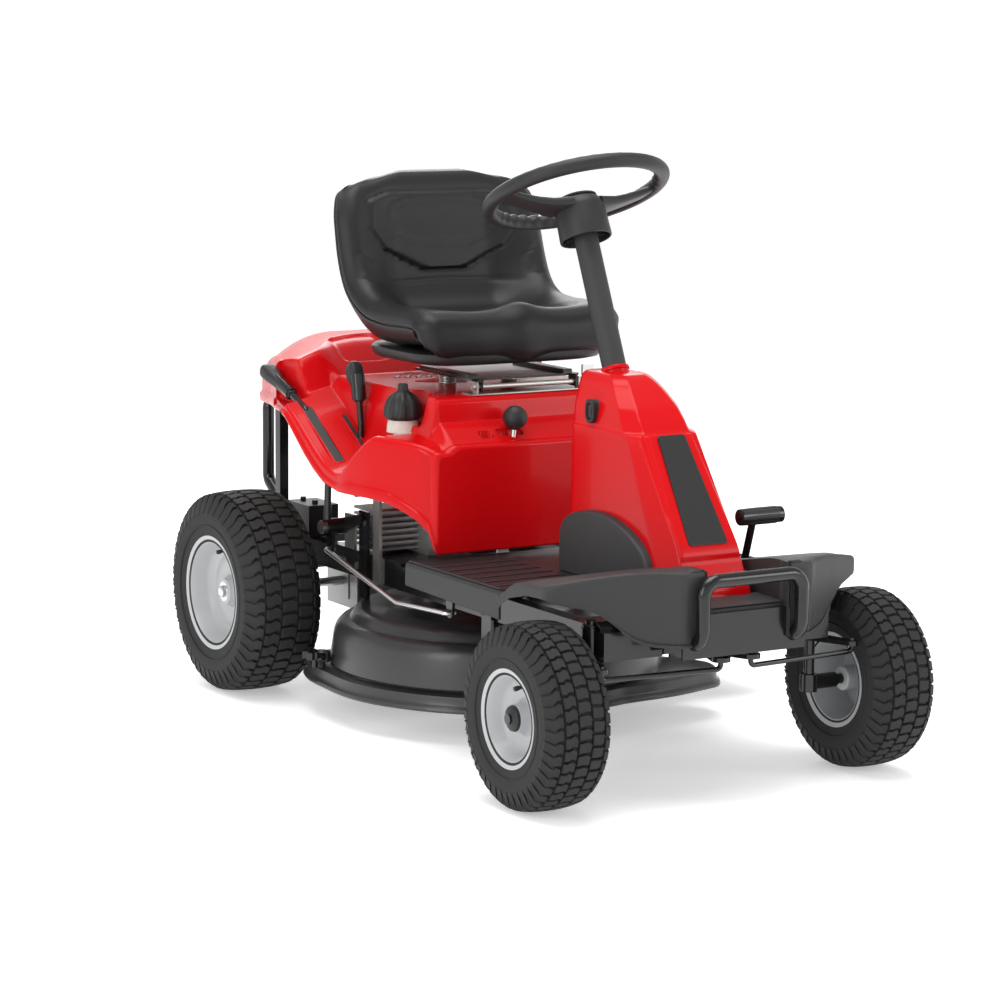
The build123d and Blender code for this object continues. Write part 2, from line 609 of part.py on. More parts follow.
def lift_shaft():
    """Stub shaft of the deck height lever, on its bracket from the frame rail."""
    shaft = rod((-252, LIFT_Y, LIFT_Z), (-184, LIFT_Y, LIFT_Z), 9.5)
    shaft += rod((-256, LIFT_Y, LIFT_Z), (-252, LIFT_Y, LIFT_Z), 13)
    return shaft + block(-190, -184, 950, 990, RAIL_Z1 + 5, 372)


def lift_rod():
    """Bright bent rod from the lift lever to the front bell crank."""
    points = [(-224, LIFT_Y, LIFT_Z - ROD_ARM), (-244, LIFT_Y, LIFT_Z - ROD_ARM), (-244, 679, 244),
              (-244, BELL_Y, BELL_Z - ROD_ARM), (-224, BELL_Y, BELL_Z - ROD_ARM)]
    return bent_rod(points, 5, 8)


def bell_crank():
    """Front lift crank: a drop arm for the rod and a lift arm for the deck."""
    drop = side_link((BELL_Y, BELL_Z), 14, (BELL_Y, BELL_Z - ROD_ARM), 10, -236, -230)
    drop -= rod((-240, BELL_Y, BELL_Z - ROD_ARM), (-226, BELL_Y, BELL_Z - ROD_ARM), 5.3)
    pin_y, pin_z = lift_pin(BELL_Y, BELL_Z)
    lift = side_link((BELL_Y, BELL_Z), 14, (pin_y, pin_z), 9, -208, -202)
    hub = rod((-236, BELL_Y, BELL_Z), (-202, BELL_Y, BELL_Z), 13)
    crank = hub + drop + lift + rod((-202, pin_y, pin_z), (-190.4, pin_y, pin_z), 4)
    return crank - rod((-240, BELL_Y, BELL_Z), (-200, BELL_Y, BELL_Z), 8.05)


def bell_stud():
    """Shouldered stud that carries the front bell crank on the frame rail."""
    stud = rod((-242, BELL_Y, BELL_Z), (-194, BELL_Y, BELL_Z), 8) + rod(
        (-246, BELL_Y, BELL_Z), (-242, BELL_Y, BELL_Z), 12)
    return stud + block(-196, -190, BELL_Y - 18, BELL_Y + 18, 262, 318)


def speed_bar():
    """Second lever of the near panel, on its own pivot inside the body."""
    bar = bent_rod([(-230, 849, 440), (-230, 849, 567), (-230, 860, 640)], 6, 30)
    hub = ring((-242, 849, 440), (-218, 849, 440), 14, 6.05)
    bar -= rod((-250, 849, 440), (-210, 849, 440), 6.05)
    return hub + bar


def speed_grip():
    return ring((-230, 856.4, 616), (-230, 864, 666), 14, 6)


def speed_lever():
    """Second lever with its grip."""
    return Compound([speed_bar(), speed_grip()])


def speed_pivot():
    """Pivot pin of the second lever on a post from the engine plate."""
    pin = rod((-246, 849, 440), (-190, 849, 440), 6)
    return pin + block(-196, -190, 836, 862, RAIL_Z0, 456)


def shifter_rod():
    """Chrome shift rod, rocking from side to side on a fore-and-aft pivot."""
    hub = ring((-78, 532, 470), (-78, 556, 470), 12, 6.05)
    stem = rod((-78, 544, 481), (-66, 544, 590), 5)
    return hub + stem


def shifter_knob():
    return Pos(-64, 544, 604) * Sphere(17) - rod((-78, 544, 481), (-66, 544, 590), 5)


def shifter():
    """Shift rod with its ball knob."""
    return Compound([shifter_rod(), shifter_knob()])


def shifter_pivot():
    """Pivot pin of the shift rod on a post from the frame cross bar."""
    pin = rod((-78, 526, 470), (-78, 566, 470), 6)
    return pin + block(-90, -66, 560, 566, RAIL_Z1, 484)


# ---- engine and drive
def engine_block():
    """Finned crankcase and cylinder on the engine plate."""
    block_low = block(-95, 95, 820, 1000, RAIL_Z1 + 5, 400)
    block_low -= rod((0, CRANK_Y, 290), (0, CRANK_Y, 402), 30)
    barrel = block(-75, 75, 800, 820, 320, 400)
    fins = Part()
    for row in range(7):
        fins += block(-180, -95, 860, 970, 312 + row * 12, 317 + row * 12)
    core = block(-175, -95, 880, 950, 308, 392)
    return block_low + barrel + fins + core


def engine_shroud():
    """Blower housing over the flywheel."""
    shroud = rod((0, CRANK_Y, 400), (0, CRANK_Y, 500), 105) - rod((0, CRANK_Y, 400), (0, CRANK_Y, 494), 101)
    for step in range(12):
        shroud -= Pos(0, CRANK_Y, 497) * Rot(0, 0, step * 30) * Pos(60, 0, 0) * Box(50, 8, 8)
    return shroud


def crankshaft():
    """Upright crankshaft with the flywheel above and both belt pulleys below."""
    shaft = rod((0, CRANK_Y, 222), (0, CRANK_Y, 470), 12.7)
    shaft += rod((0, CRANK_Y, 440), (0, CRANK_Y, 462), 90)
    shaft += grooved_pulley(0, CRANK_Y, 228, 44) + grooved_pulley(0, CRANK_Y, 262, 38)
    return shaft


def grooved_pulley(x, y, z, r):
    """V-belt pulley, 18 mm thick, its underside at z."""
    disc = rod((x, y, z), (x, y, z + 18), r)
    return disc - ring((x, y, z + 3.5), (x, y, z + 14.5), r + 1, r - 9)


def belt(near, r_near, far, r_far, z0, z1):
    """Flat-sided belt loop round two upright pulleys."""
    grow = 5.0
    outer = (Pos(*near) * Circle(r_near + grow)).edges() + (Pos(*far) * Circle(r_far + grow)).edges()
    inner = (Pos(*near) * Circle(r_near)).edges() + (Pos(*far) * Circle(r_far)).edges()
    return Pos(0, 0, z0) * extrude(make_hull(outer) - make_hull(inner), amount=z1 - z0)


def blade_belt():
    return belt((0, CRANK_Y), 35.4, (0, DECK_Y), 51.4, 232, 242)


def drive_belt():
    return belt((0, CRANK_Y), 29.4, (0, WHEELBASE), 51.4, 266, 276)


def muffler():
    """Silencer box beside the engine with its outlet stub."""
    can = block(-60, 60, 700, 780, 320, 400) + rod((20, 740, 400), (20, 740, 430), 12)
    return can + block(-20, 20, 780, 800, 350, 370)


def engine_covers():
    """Blower housing and air filter box."""
    return Compound([engine_shroud(), air_filter_box()])


def air_filter_box():
    return block(100, 190, 850, 960, 330, 420) + block(95, 100, 880, 930, 340, 390)


def transaxle_case():
    """Gearbox case hung under the rails, with the axle tubes."""
    case = block(-110, 110, 1085, 1215, 150, 250) + block(-190, 190, 1120, 1180, 240, 250)
    case += both(block(100, 112, 1120, 1180, 168, 238))
    case -= both(rod((90, WHEELBASE, REAR_R), (113, WHEELBASE, REAR_R), 9.6))
    case -= rod((0, WHEELBASE, 236), (0, WHEELBASE, 252), 10.05)
    return case


def transaxle_pulley():
    """Input pulley and its shaft on top of the gearbox."""
    return grooved_pulley(0, WHEELBASE, 262, 60) + rod((0, WHEELBASE, 237), (0, WHEELBASE, 264), 10)


def battery():
    """Starter battery on the near rail, with its two posts."""
    case = block(-186, -118, 1152, 1250, RAIL_Z1, 362)
    return case + rod((-160, 1175, 362), (-160, 1175, 370), 6) + rod((-160, 1227, 362), (-160, 1227, 370), 6)


def rear_guard():
    """Bent tube loop behind the body, its feet on the rear cross member."""
    half, y_top = 141.0, REAR_REACH - 12.5
    side = [(-half, 1348.5, 262), (-half, 1348.5, 330), (-half, y_top, 380), (-half, y_top, 556)]
    points = side + [(-x, y, z) for x, y, z in reversed(side)]
    return bent_rod(points, 12.5, 26) + guard_clamps()


def hitch_plate():
    """Tow plate bolted behind the rear cross member."""
    plate = block(-60, 60, 1336, 1342, 252, 296) + block(-45, 45, 1342, 1400, 252, 258)
    return plate - rod((0, 1378, 240), (0, 1378, 270), 8)


# ---- seat
def seat_bracket():
    """Hinged seat plate with side runners for the seat to slide on."""
    plate = block(-120, 120, 612, 830, 672, 676)
    runners = both(block(96, 116, 630, 820, 676, 682))
    ears = both(block(104, 108, 596, 624, 652, 676)) - rod((-130, 606, 661), (130, 606, 661), 5.05)
    return plate + runners + ears


def seat_hinge():
    """Hinge bracket on the body, its pin through the seat plate's ears."""
    foot = block(-125, 125, 599, 640, 645.6, 648)
    ears = both(block(112, 116, 599, 614, 648, 670))
    return foot + ears + rod((-122, 606, 661), (122, 606, 661), 5)


def seat_springs():
    """Two barrel springs standing on the body under the seat plate."""
    springs = Part()
    for side in (-1, 1):
        for turn in range(5):
            springs += Pos(side * 70, 790, 649.3 + turn * 5.0) * Torus(15, 2.2)
        springs += rod((side * 70, 790, 647.2), (side * 70, 790, 668), 12.6)
    return springs


def seat_pan():
    """Steel pan under the cushion, with shoes that ride on the runners."""
    pan = block(-205, 205, 640, 900, 696, 699)
    shoes = both(block(92, 120, 650, 810, 682.3, 696))
    return pan + shoes


def seat_cushion():
    """Moulded bucket seat: cushion, lumbar roll and high back, one soft shell."""
    base = side_prism([(612, 722), (600, 752), (606, 790), (640, 806), (760, 790), (880, 800),
                       (920, 760), (905, 699.2), (640, 699.2)], -225, 225)
    back = side_prism([(850, 780), (872, 850), (900, 930), (926, 1040), (950, 1050), (985, 1040),
                       (986, 930), (950, 800), (920, 740)], -212, 212)
    upper = Plane(origin=(0, 1100, 0), x_dir=(1, 0, 0), z_dir=(0, -1, 0))
    outline = extrude(upper * (Pos(0, 880) * RectangleRounded(424, 340, 95)), amount=300)
    wings = both(side_prism([(760, 760), (860, 860), (960, 870), (930, 740), (780, 730)], 205, 240))
    return base + (back & outline) + wings


# ---- deck
def deck_outline(grow=0.0):
    """Plan outline of the deck's skirt."""
    half = SKIRT_X + grow
    front = [(-half, 800), (-half, 430), (-300, 330 - grow), (-150, 275 - grow), (0, 262 - grow)]
    rear = [(-half, 800), (-336, 870 + grow), (-232, 905 + grow), (-225, 990 + grow)]
    left = [(-x, y) for x, y in reversed(front[:-1])]
    back = [(-x, y) for x, y in rear[1:]]
    return front + left + back + list(reversed(rear[1:]))


def deck_shell():
    """Pressed mowing deck: round dome, flat shelf and a skirt, open underneath."""
    skin = 4.0
    dome = Pos(0, DECK_Y, 98) * Cone(DOME_R, DOME_R - 8, 92, align=(Align.CENTER, Align.CENTER, Align.MIN))
    dome += Pos(0, DECK_Y, 190) * Cone(DOME_R - 8, DOME_R - 34, DOME_TOP - 190,
                                       align=(Align.CENTER, Align.CENTER, Align.MIN))
    shelf = plan_prism(deck_outline(), 64, 100) + rod((0, DECK_Y, 64), (0, DECK_Y, 100), DOME_R)
    hollow = Pos(0, DECK_Y, 90) * Cone(DOME_R - skin, DOME_R - 8 - skin, 100 - skin,
                                       align=(Align.CENTER, Align.CENTER, Align.MIN))
    hollow += Pos(0, DECK_Y, 186) * Cone(DOME_R - 8 - skin, DOME_R - 34 - skin, DOME_TOP - 190,
                                         align=(Align.CENTER, Align.CENTER, Align.MIN))
    shell = dome + shelf - hollow - plan_prism(deck_outline(-skin), 60, 96)
    shell -= rod((0, DECK_Y, 60), (0, DECK_Y, 97), DOME_R - skin)
    outlet = block(DOME_R - 60, SKIRT_X + 5, 590, 830, 66, 170)
    tunnel = block(DOME_R - 60, SKIRT_X + 4, 584, 836, 96, 174) - block(
        DOME_R - 61, SKIRT_X + 5, 588, 832, 60, 170)
    round_cut = rod((0, DECK_Y, 60), (0, DECK_Y, 186), DOME_R - 6)
    shell = shell - outlet + (tunnel - round_cut)
    return shell - rod((0, DECK_Y, 190), (0, DECK_Y, 220), 30)


def spindle_housing():
    """Bearing housing of the blade spindle, bolted in the top of the dome."""
    body = ring((0, DECK_Y, 150), (0, DECK_Y, DOME_TOP), 29.9, 12.6)
    return body + ring((0, DECK_Y, DOME_TOP), (0, DECK_Y, DOME_TOP + 5), 48, 12.6)


def deck_hangers():
    """Plates on the dome with round holes for the four lift pins."""
    plates = []
    for y, z, foot in ((BELL_Y, BELL_Z, 100), (LIFT_Y, LIFT_Z, DOME_TOP)):
        pin_y, pin_z = lift_pin(y, z)
        plate = block(-198, -192, pin_y - 17, pin_y + 17, foot, pin_z + 16)
        slot = side_link((pin_y - 4, pin_z - 4.7), 9, (pin_y + 4, pin_z - 4.7), 9, -200, -190)
        plates.append(plate - slot)
    return plates


def blade_spindle():
    """Blade shaft with its pulley on top and the blade's clamp below."""
    shaft = rod((0, DECK_Y, 80), (0, DECK_Y, 250), 12.5)
    shaft += grooved_pulley(0, DECK_Y, 228, 60)
    return shaft + rod((0, DECK_Y, 80), (0, DECK_Y, 149.5), 22)


def blade():
    """Mower blade with lifted trailing edges, clamped under the spindle."""
    bar = block(-BLADE_R, BLADE_R, -28, 28, 76, 80)
    for side in (-1, 1):
        wing = side_prism([(24, 80), (28, 76), (44, 88), (44, 92)], 0, 90)
        place = Pos(BLADE_R - 100, 0, 0) * wing
        bar += place if side > 0 else Rot(0, 0, 180) * place
    bolt = Pos(0, 0, 68) * extrude(RegularPolygon(14, 6), amount=8)
    return Pos(0, DECK_Y, 0) * (bar + bolt)


def chute():
    """Plastic discharge deflector, hinged along the deck's left edge."""
    near, far = SKIRT_X + 18, CHUTE_REACH
    outline = [(near, 190), (far, 122), (far, 96), (far - 5, 96), (far - 5, 117), (near, 185)]
    plane = Plane(origin=(0, 580, 0), x_dir=(1, 0, 0), z_dir=(0, -1, 0))
    roof = extrude(plane * make_face(Polyline(*outline, close=True)), amount=-260)
    side = [(near, 188), (far - 1, 119), (far - 1, 96), (near, 124)]
    cheek = extrude(plane * make_face(Polyline(*side, close=True)), amount=-5)
    for y in (650, 750):
        roof -= block(near - 8, near + 4, y - 13, y + 13, 170, 200)
    knuckles = Part()
    for y in (600, 700, 800):
        knuckles += ring((SKIRT_X + 12, y - 15, 186), (SKIRT_X + 12, y + 15, 186), 8, 4.05)
    hinge_gap = rod((SKIRT_X + 12, 570, 186), (SKIRT_X + 12, 850, 186), 4.05)
    return roof + cheek + Pos(0, 255, 0) * cheek + knuckles - hinge_gap


def chute_hinge():
    """Hinge rod and its two posts on the deck's outlet."""
    x = SKIRT_X + 12
    pin = rod((x, 576, 186), (x, 844, 186), 4)
    ears = Part()
    for y in (650, 750):
        ears += block(SKIRT_X - 12, x, y - 12, y + 12, 174, 182)
        ears += ring((x, y - 12, 186), (x, y + 12, 186), 8, 4)
    return pin + ears


def wash_knob():
    """Star knob of the deck's wash-out plate, on its threaded post."""
    knob = rod((-340, 833, 118), (-340, 833, 132), 14)
    for step in range(5):
        knob += Pos(-340, 833, 125) * Rot(0, 0, step * 72) * Pos(14, 0, 0) * Box(20, 12, 14)
    return knob + rod((-340, 833, 100), (-340, 833, 118), 5)


def deck_fittings():
    """Everything bolted to the deck: bearing housing, lift plates, chute hinge and star knob."""
    return Compound([spindle_housing(), *deck_hangers(), chute_hinge(), wash_knob()])


def pivots_and_bolts():
    """Fixed pivot pins, the hinge under the seat and the bolt heads along the frame."""
    pins = [axle_pivot_bolt(), sector_bolt(), pedal_pivot(), lift_shaft(), bell_stud(), speed_pivot(),
            shifter_pivot(), seat_hinge()]
    return Compound(pins + frame_bolts())


def frame_bolts():
    """Hexagon heads along the rails, the hitch plate and the guard's feet."""
    bolts = []
    for y in (620, 932, 1000):
        for side in (-1, 1):
            head = Pos(side * RAIL_OUT, y, 274) * Rot(0, side * 90, 0)
            bolts.append(head * extrude(RegularPolygon(8, 6), amount=5))
    for x in (-50, 50):
        bolts.append(Pos(x, 1342, 284) * Rot(-90, 0, 0) * extrude(RegularPolygon(7, 6), amount=5))
    return bolts


def guard_clamps():
    """Straps that bolt the rear guard's feet to the cross member."""
    return both(block(118, 164, 1336, 1342, 256, 294) + ring((141, 1348.5, 266), (141, 1348.5, 284), 18, 12.5)
                - block(100, 180, 1320, 1336, 250, 300))


def main():
    os.makedirs("parts", exist_ok=True)
    for side, name in ((1, "left"), (-1, "right")):
        front_tyre = tyre(FRONT_R, FRONT_W, FRONT_BEAD, 55)
        front_rim = Compound([rim(FRONT_BEAD, 55, 88, 14), Pos(45, 0, 0) * hub_cap()])
        rear_tyre = tyre(REAR_R, REAR_W, REAR_BEAD, 74)
        rear_rim = rim(REAR_BEAD, 74, 115, 10)
        save(f"front_tyre_{name}", place_wheel(front_tyre, side, FRONT_X, 0, FRONT_R))
        save(f"front_rim_{name}", place_wheel(front_rim, side, FRONT_X, 0, FRONT_R))
        save(f"rear_tyre_{name}", place_wheel(rear_tyre, side, REAR_X, WHEELBASE, REAR_R))
        save(f"rear_rim_{name}", place_wheel(rear_rim, side, REAR_X, WHEELBASE, REAR_R))
        save(f"rear_axle_{name}", rear_axle(side))
        save(f"spindle_{name}", spindle(side))
        save(f"drag_link_{name}", drag_link(side))
    for build in (frame, axle_beam, steering_sector, pinion_shaft, steering_shaft, column_tube,
                  steering_wheel, steering_hub_cap, tower_cover, tower_panel, fender_moulding,
                  running_board, front_bumper, switch_housings, switch_rocker, ignition_key,
                  pedal, rear_body, fuel_tank, fuel_cap, lever_panel, lift_lever, lift_rod,
                  bell_crank, speed_lever, shifter, pivots_and_bolts, engine_block, engine_covers,
                  crankshaft, blade_belt, drive_belt, muffler, transaxle_case, transaxle_pulley,
                  battery, rear_guard, seat_bracket, seat_springs, seat_pan, seat_cushion,
                  deck_shell, deck_fittings, blade_spindle, blade, chute):
        save(build.__name__, build())


main()
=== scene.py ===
import json
import math

import bmesh
import bpy
import numpy as np
from mathutils import Matrix, Vector


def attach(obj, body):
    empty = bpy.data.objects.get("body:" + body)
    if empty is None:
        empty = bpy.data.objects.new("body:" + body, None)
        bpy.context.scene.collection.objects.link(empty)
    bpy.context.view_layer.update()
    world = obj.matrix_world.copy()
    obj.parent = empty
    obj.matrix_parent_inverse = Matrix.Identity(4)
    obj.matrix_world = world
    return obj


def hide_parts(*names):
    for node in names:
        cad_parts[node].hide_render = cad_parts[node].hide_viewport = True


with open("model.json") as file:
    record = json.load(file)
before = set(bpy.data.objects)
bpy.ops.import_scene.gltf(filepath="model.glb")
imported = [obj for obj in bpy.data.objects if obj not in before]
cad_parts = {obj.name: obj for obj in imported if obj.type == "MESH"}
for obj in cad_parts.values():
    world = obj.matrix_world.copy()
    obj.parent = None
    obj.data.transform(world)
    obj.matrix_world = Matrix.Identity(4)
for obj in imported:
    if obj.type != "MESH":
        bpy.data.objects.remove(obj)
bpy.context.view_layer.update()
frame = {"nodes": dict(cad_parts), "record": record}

OX, OY = 0.080375, 0.634
WHEELBASE = 1149.0
DECK_Y = 715                # the blade spindle
DOME_R = 326                # the deck's round dome
FILLER_X, FILLER_Y = -222, 697
VENT_Y = 880                # middle of the louvres behind the seat
BODY_FRONT, BODY_REAR = 534, 1362
COLUMN_Y, COLUMN_Z = 395, 938                       # a point on the steering column's axis
RING_Z = 1037.3             # middle of the steering wheel's rim
TILT = math.radians(24)     # the column, back from vertical


def V(x, y, z):
    """A point given in millimetres from the front axle's middle on the ground, in the row frame."""
    return Vector((x / 1000 - OX, y / 1000 - OY, z / 1000))


# ---------------------------------------------------------------- materials
def group(name, inputs, outputs, build):
    """A shared procedural effect with named sockets."""
    g = bpy.data.node_groups.new(name, "ShaderNodeTree")
    for label, kind, value in inputs:
        s = g.interface.new_socket(label, in_out="INPUT", socket_type=kind)
        s.default_value = value
    for label, kind in outputs:
        g.interface.new_socket(label, in_out="OUTPUT", socket_type=kind)
    build(g, g.nodes.new("NodeGroupInput"), g.nodes.new("NodeGroupOutput"))
    return g


def _grain(g, i, o):
    """Fine moulded or painted grain, as a height and a small roughness change."""
    n, ln = g.nodes, g.links
    co = n.new("ShaderNodeTexCoord")
    t = n.new("ShaderNodeTexNoise")
    t.inputs["Detail"].default_value = 4
    ln.new(co.outputs["Object"], t.inputs["Vector"])
    ln.new(i.outputs["Scale"], t.inputs["Scale"])
    m = n.new("ShaderNodeMapRange")
    ln.new(t.outputs["Fac"], m.inputs["Value"])
    ln.new(i.outputs["Rough Low"], m.inputs["To Min"])
    ln.new(i.outputs["Rough High"], m.inputs["To Max"])
    ln.new(t.outputs["Fac"], o.inputs["Height"])
    ln.new(m.outputs["Result"], o.inputs["Roughness"])


GRAIN = group("Grain", [("Scale", "NodeSocketFloat", 900.0), ("Rough Low", "NodeSocketFloat", 0.4),
                        ("Rough High", "NodeSocketFloat", 0.6)],
              [("Height", "NodeSocketFloat"), ("Roughness", "NodeSocketFloat")], _grain)


def material(name, color, rough=0.5, metal=0.0, coat=0.0, grain=0.0, scale=900.0, spread=0.08, spec=0.5):
    m = bpy.data.materials.new(name)
    m.use_nodes = True
    n, ln = m.node_tree.nodes, m.node_tree.links
    b = n["Principled BSDF"]
    b.inputs["Base Color"].default_value = (*color, 1)
    b.inputs["Roughness"].default_value = rough
    b.inputs["Metallic"].default_value = metal
    b.inputs["Coat Weight"].default_value = coat
    b.inputs["Coat Roughness"].default_value = 0.04
    b.inputs["Specular IOR Level"].default_value = spec
    if grain:
        g = n.new("ShaderNodeGroup")
        g.node_tree = GRAIN
        g.inputs["Scale"].default_value = scale
        g.inputs["Rough Low"].default_value = rough - spread
        g.inputs["Rough High"].default_value = rough + spread
        bump = n.new("ShaderNodeBump")
        bump.inputs["Strength"].default_value = grain
        bump.inputs["Distance"].default_value = 0.0006
        ln.new(g.outputs["Height"], bump.inputs["Height"])
        ln.new(bump.outputs["Normal"], b.inputs["Normal"])
        ln.new(g.outputs["Roughness"], b.inputs["Roughness"])
    return m


RED = material("red_gloss", (0.52, 0.003, 0.005), 0.25, coat=0.10, spec=0.12)
CHARCOAL = material("charcoal_moulding", (0.030, 0.030, 0.031), 0.52, grain=0.35, scale=1400, spec=0.32)
BLACK_PLASTIC = material("black_moulding", (0.016, 0.016, 0.017), 0.42, grain=0.2, scale=1400, spec=0.32)
PANEL = material("panel_satin_black", (0.022, 0.021, 0.022), 0.38, grain=0.1, spec=0.32)
GRIP = material("grip_black", (0.020, 0.020, 0.021), 0.45, grain=0.3, scale=1200, spec=0.32)
VINYL = material("seat_vinyl", (0.009, 0.009, 0.0095), 0.42, grain=0.5, scale=700, spec=0.28)
TYRE = material("tyre_rubber", (0.018, 0.018, 0.018), 0.74, grain=0.5, scale=500, spec=0.32)
RIM = material("rim_silver", (0.40, 0.41, 0.42), 0.45, coat=0.15, grain=0.05)
BLACK_METAL = material("black_paint", (0.006, 0.006, 0.0065), 0.20, coat=0.2, spec=0.4)
DECK = material("deck_paint", (0.024, 0.024, 0.025), 0.36, coat=0.1, grain=0.15, scale=600)
STEEL = material("bright_steel", (0.62, 0.62, 0.61), 0.28, metal=1.0, grain=0.05)
ZINC = material("zinc_bolts", (0.45, 0.44, 0.41), 0.35, metal=1.0)
CAST = material("cast_aluminium", (0.42, 0.42, 0.42), 0.46, metal=0.85, grain=0.5, scale=500)
NATURAL = material("tank_natural", (0.62, 0.60, 0.54), 0.4)
BELT = material("belt_rubber", (0.02, 0.02, 0.02), 0.7)

SLOT_LOOK = {"tyre": TYRE, "wheel_silver": RIM, "red_plastic": RED, "charcoal_plastic": CHARCOAL,
             "grip_plastic": GRIP, "tank_plastic": NATURAL, "black_metal": BLACK_METAL,
             "deck_metal": DECK, "bright_steel": STEEL, "engine_aluminium": CAST,
             "belt_rubber": BELT, "battery_plastic": BLACK_PLASTIC, "seat_vinyl": VINYL}
slot_of = {s["node"]: s["material_slot"] for s in frame["record"]["subparts"]}
for name, o in frame["nodes"].items():
    o.data.materials.clear()
    o.data.materials.append(SLOT_LOOK[slot_of[name]])
for name, look in {"pivots_and_bolts": ZINC, "axle_beam": BLACK_METAL, "steering_sector": BLACK_METAL,
                   "drag_link_left": BLACK_METAL, "drag_link_right": BLACK_METAL, "switch_rocker": BLACK_PLASTIC,
                   "fuel_cap": BLACK_PLASTIC, "engine_covers": BLACK_PLASTIC, "column_tube": CHARCOAL,
                   "crankshaft": STEEL, "transaxle_pulley": STEEL, "seat_bracket": BLACK_METAL}.items():
    frame["nodes"][name].data.materials[0] = look


# ---------------------------------------------------------------- mesh helpers
def mesh(name, verts, faces, look, body, slot=None, sharp=32, subsurf=0, replaces=(), weighted=True):
    """Make a piece from points in the row frame and let it ride on a body."""
    me = bpy.data.meshes.new(name)
    me.from_pydata([tuple(v) for v in verts], [], faces)
    me.validate()
    me.materials.append(look)
    o = bpy.data.objects.new(name, me)
    bpy.context.scene.collection.objects.link(o)
    bm = bmesh.new()
    bm.from_mesh(me)
    bmesh.ops.remove_doubles(bm, verts=bm.verts, dist=1e-6)
    bmesh.ops.recalc_face_normals(bm, faces=bm.faces)
    for e in bm.edges:
        e.smooth = not (len(e.link_faces) == 2 and e.calc_face_angle(0) > math.radians(sharp))
    for f in bm.faces:
        f.smooth = True
    bm.to_mesh(me)
    bm.free()
    if subsurf:
        s = o.modifiers.new("subsurf", "SUBSURF")
        s.levels = s.render_levels = subsurf
    if weighted and not subsurf:
        w = o.modifiers.new("normals", "WEIGHTED_NORMAL")
        w.keep_sharp = True
    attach(o, body)
    if replaces:
        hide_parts(*replaces)
    return o


class Build:
    """Collects points and faces of one piece, in millimetres of the drawing frame."""

    def __init__(self):
        self.v, self.f = [], []

    def add(self, points, faces):
        base = len(self.v)
        self.v += [tuple(p) for p in points]
        self.f += [[i + base for i in f] for f in faces]

    def grid(self, rows, wrap_u=False, wrap_v=False):
        """Rows of points joined into quads."""
        m, n = len(rows), len(rows[0])
        faces = []
        for i in range(m if wrap_v else m - 1):
            for k in range(n if wrap_u else n - 1):
                a, b = i * n + k, i * n + (k + 1) % n
                c, d = ((i + 1) % m) * n + (k + 1) % n, ((i + 1) % m) * n + k
                faces.append([a, b, c, d])
        self.add([p for r in rows for p in r], faces)

    def cap(self, loop):
        self.add(loop, [list(range(len(loop)))])

    def solid(self, rows):
        """Closed rings joined along their length and capped at both ends."""
        self.grid(rows, wrap_u=True)
        self.cap(rows[0])
        self.cap(rows[-1])

    def box(self, x0, x1, y0, y1, z0, z1, b=1.0):
        """Box with chamfered upright and level edges."""
        rows = []
        for z, k in ((z0, b), (z0 + b, 0), (z1 - b, 0), (z1, b)):
            rows.append([(x0 + k + b, y0 + k, z), (x1 - k - b, y0 + k, z), (x1 - k, y0 + k + b, z),
                         (x1 - k, y1 - k - b, z), (x1 - k - b, y1 - k, z), (x0 + k + b, y1 - k, z),
                         (x0 + k, y1 - k - b, z), (x0 + k, y0 + k + b, z)])
        self.solid(rows)

    def lathe(self, profile, origin, axis, sides=64, closed=False):
        """Revolve (distance along axis, radius) points about an axis."""
        axis = Vector(axis).normalized()
        side = axis.orthogonal().normalized()
        up = axis.cross(side)
        rows = []
        for a, r in profile:
            c = Vector(origin) + axis * a
            rows.append([c + (side * math.cos(t) + up * math.sin(t)) * r
                         for t in np.linspace(0, 2 * math.pi, sides, endpoint=False)])
        self.grid(rows, wrap_u=True, wrap_v=closed)
        if not closed:
            self.cap(rows[0])
            self.cap(rows[-1])

    def mirrored(self):
        n = len(self.v)
        self.v += [(-x, y, z) for x, y, z in self.v]
        self.f += [[i + n for i in reversed(f)] for f in self.f]
        return self

    def make(self, name, look, body, **k):
        return mesh(name, [V(*p) for p in self.v], self.f, look, body, **k)


def step(a, b, x):
    """Smooth rise from 0 at a to 1 at b."""
    t = min(1.0, max(0.0, (x - a) / (b - a)))
    return t * t * (3 - 2 * t)


def curve(table, x):
    """Piecewise value of a table of (x, value)."""
    return float(np.interp(x, [a for a, _ in table], [b for _, b in table]))


def soft_curve(table, x):
    """Smooth value of a table of (x, value), without overshoot."""
    xs, ys = [a for a, _ in table], [b for _, b in table]
    if x <= xs[0]:
        return ys[0]
    if x >= xs[-1]:
        return ys[-1]
    i = max(k for k in range(len(xs) - 1) if xs[k] <= x)
    slopes = [(ys[k + 1] - ys[k]) / (xs[k + 1] - xs[k]) for k in range(len(xs) - 1)]

    def tangent(k):
        if k == 0:
            return slopes[0]
        if k == len(xs) - 1:
            return slopes[-1]
        a, b = slopes[k - 1], slopes[k]
        return 0.0 if a * b <= 0 else 2 * a * b / (a + b)
    h = xs[i + 1] - xs[i]
    t = (x - xs[i]) / h
    return ((2 * t ** 3 - 3 * t ** 2 + 1) * ys[i] + (t ** 3 - 2 * t ** 2 + t) * h * tangent(i)
            + (-2 * t ** 3 + 3 * t ** 2) * ys[i + 1] + (t ** 3 - t ** 2) * h * tangent(i + 1))


# ---------------------------------------------------------------- tyres and rims
def tyre_radius(w, half, radius):
    """Carcass radius at a distance w from the tyre's middle, over the crown and shoulder."""
    k = min(1.0, abs(w) / half)
    crown = radius - 7 - 9 * k ** 2.4
    return crown - (radius * 0.16) * step(0.80, 1.0, k) ** 1.5


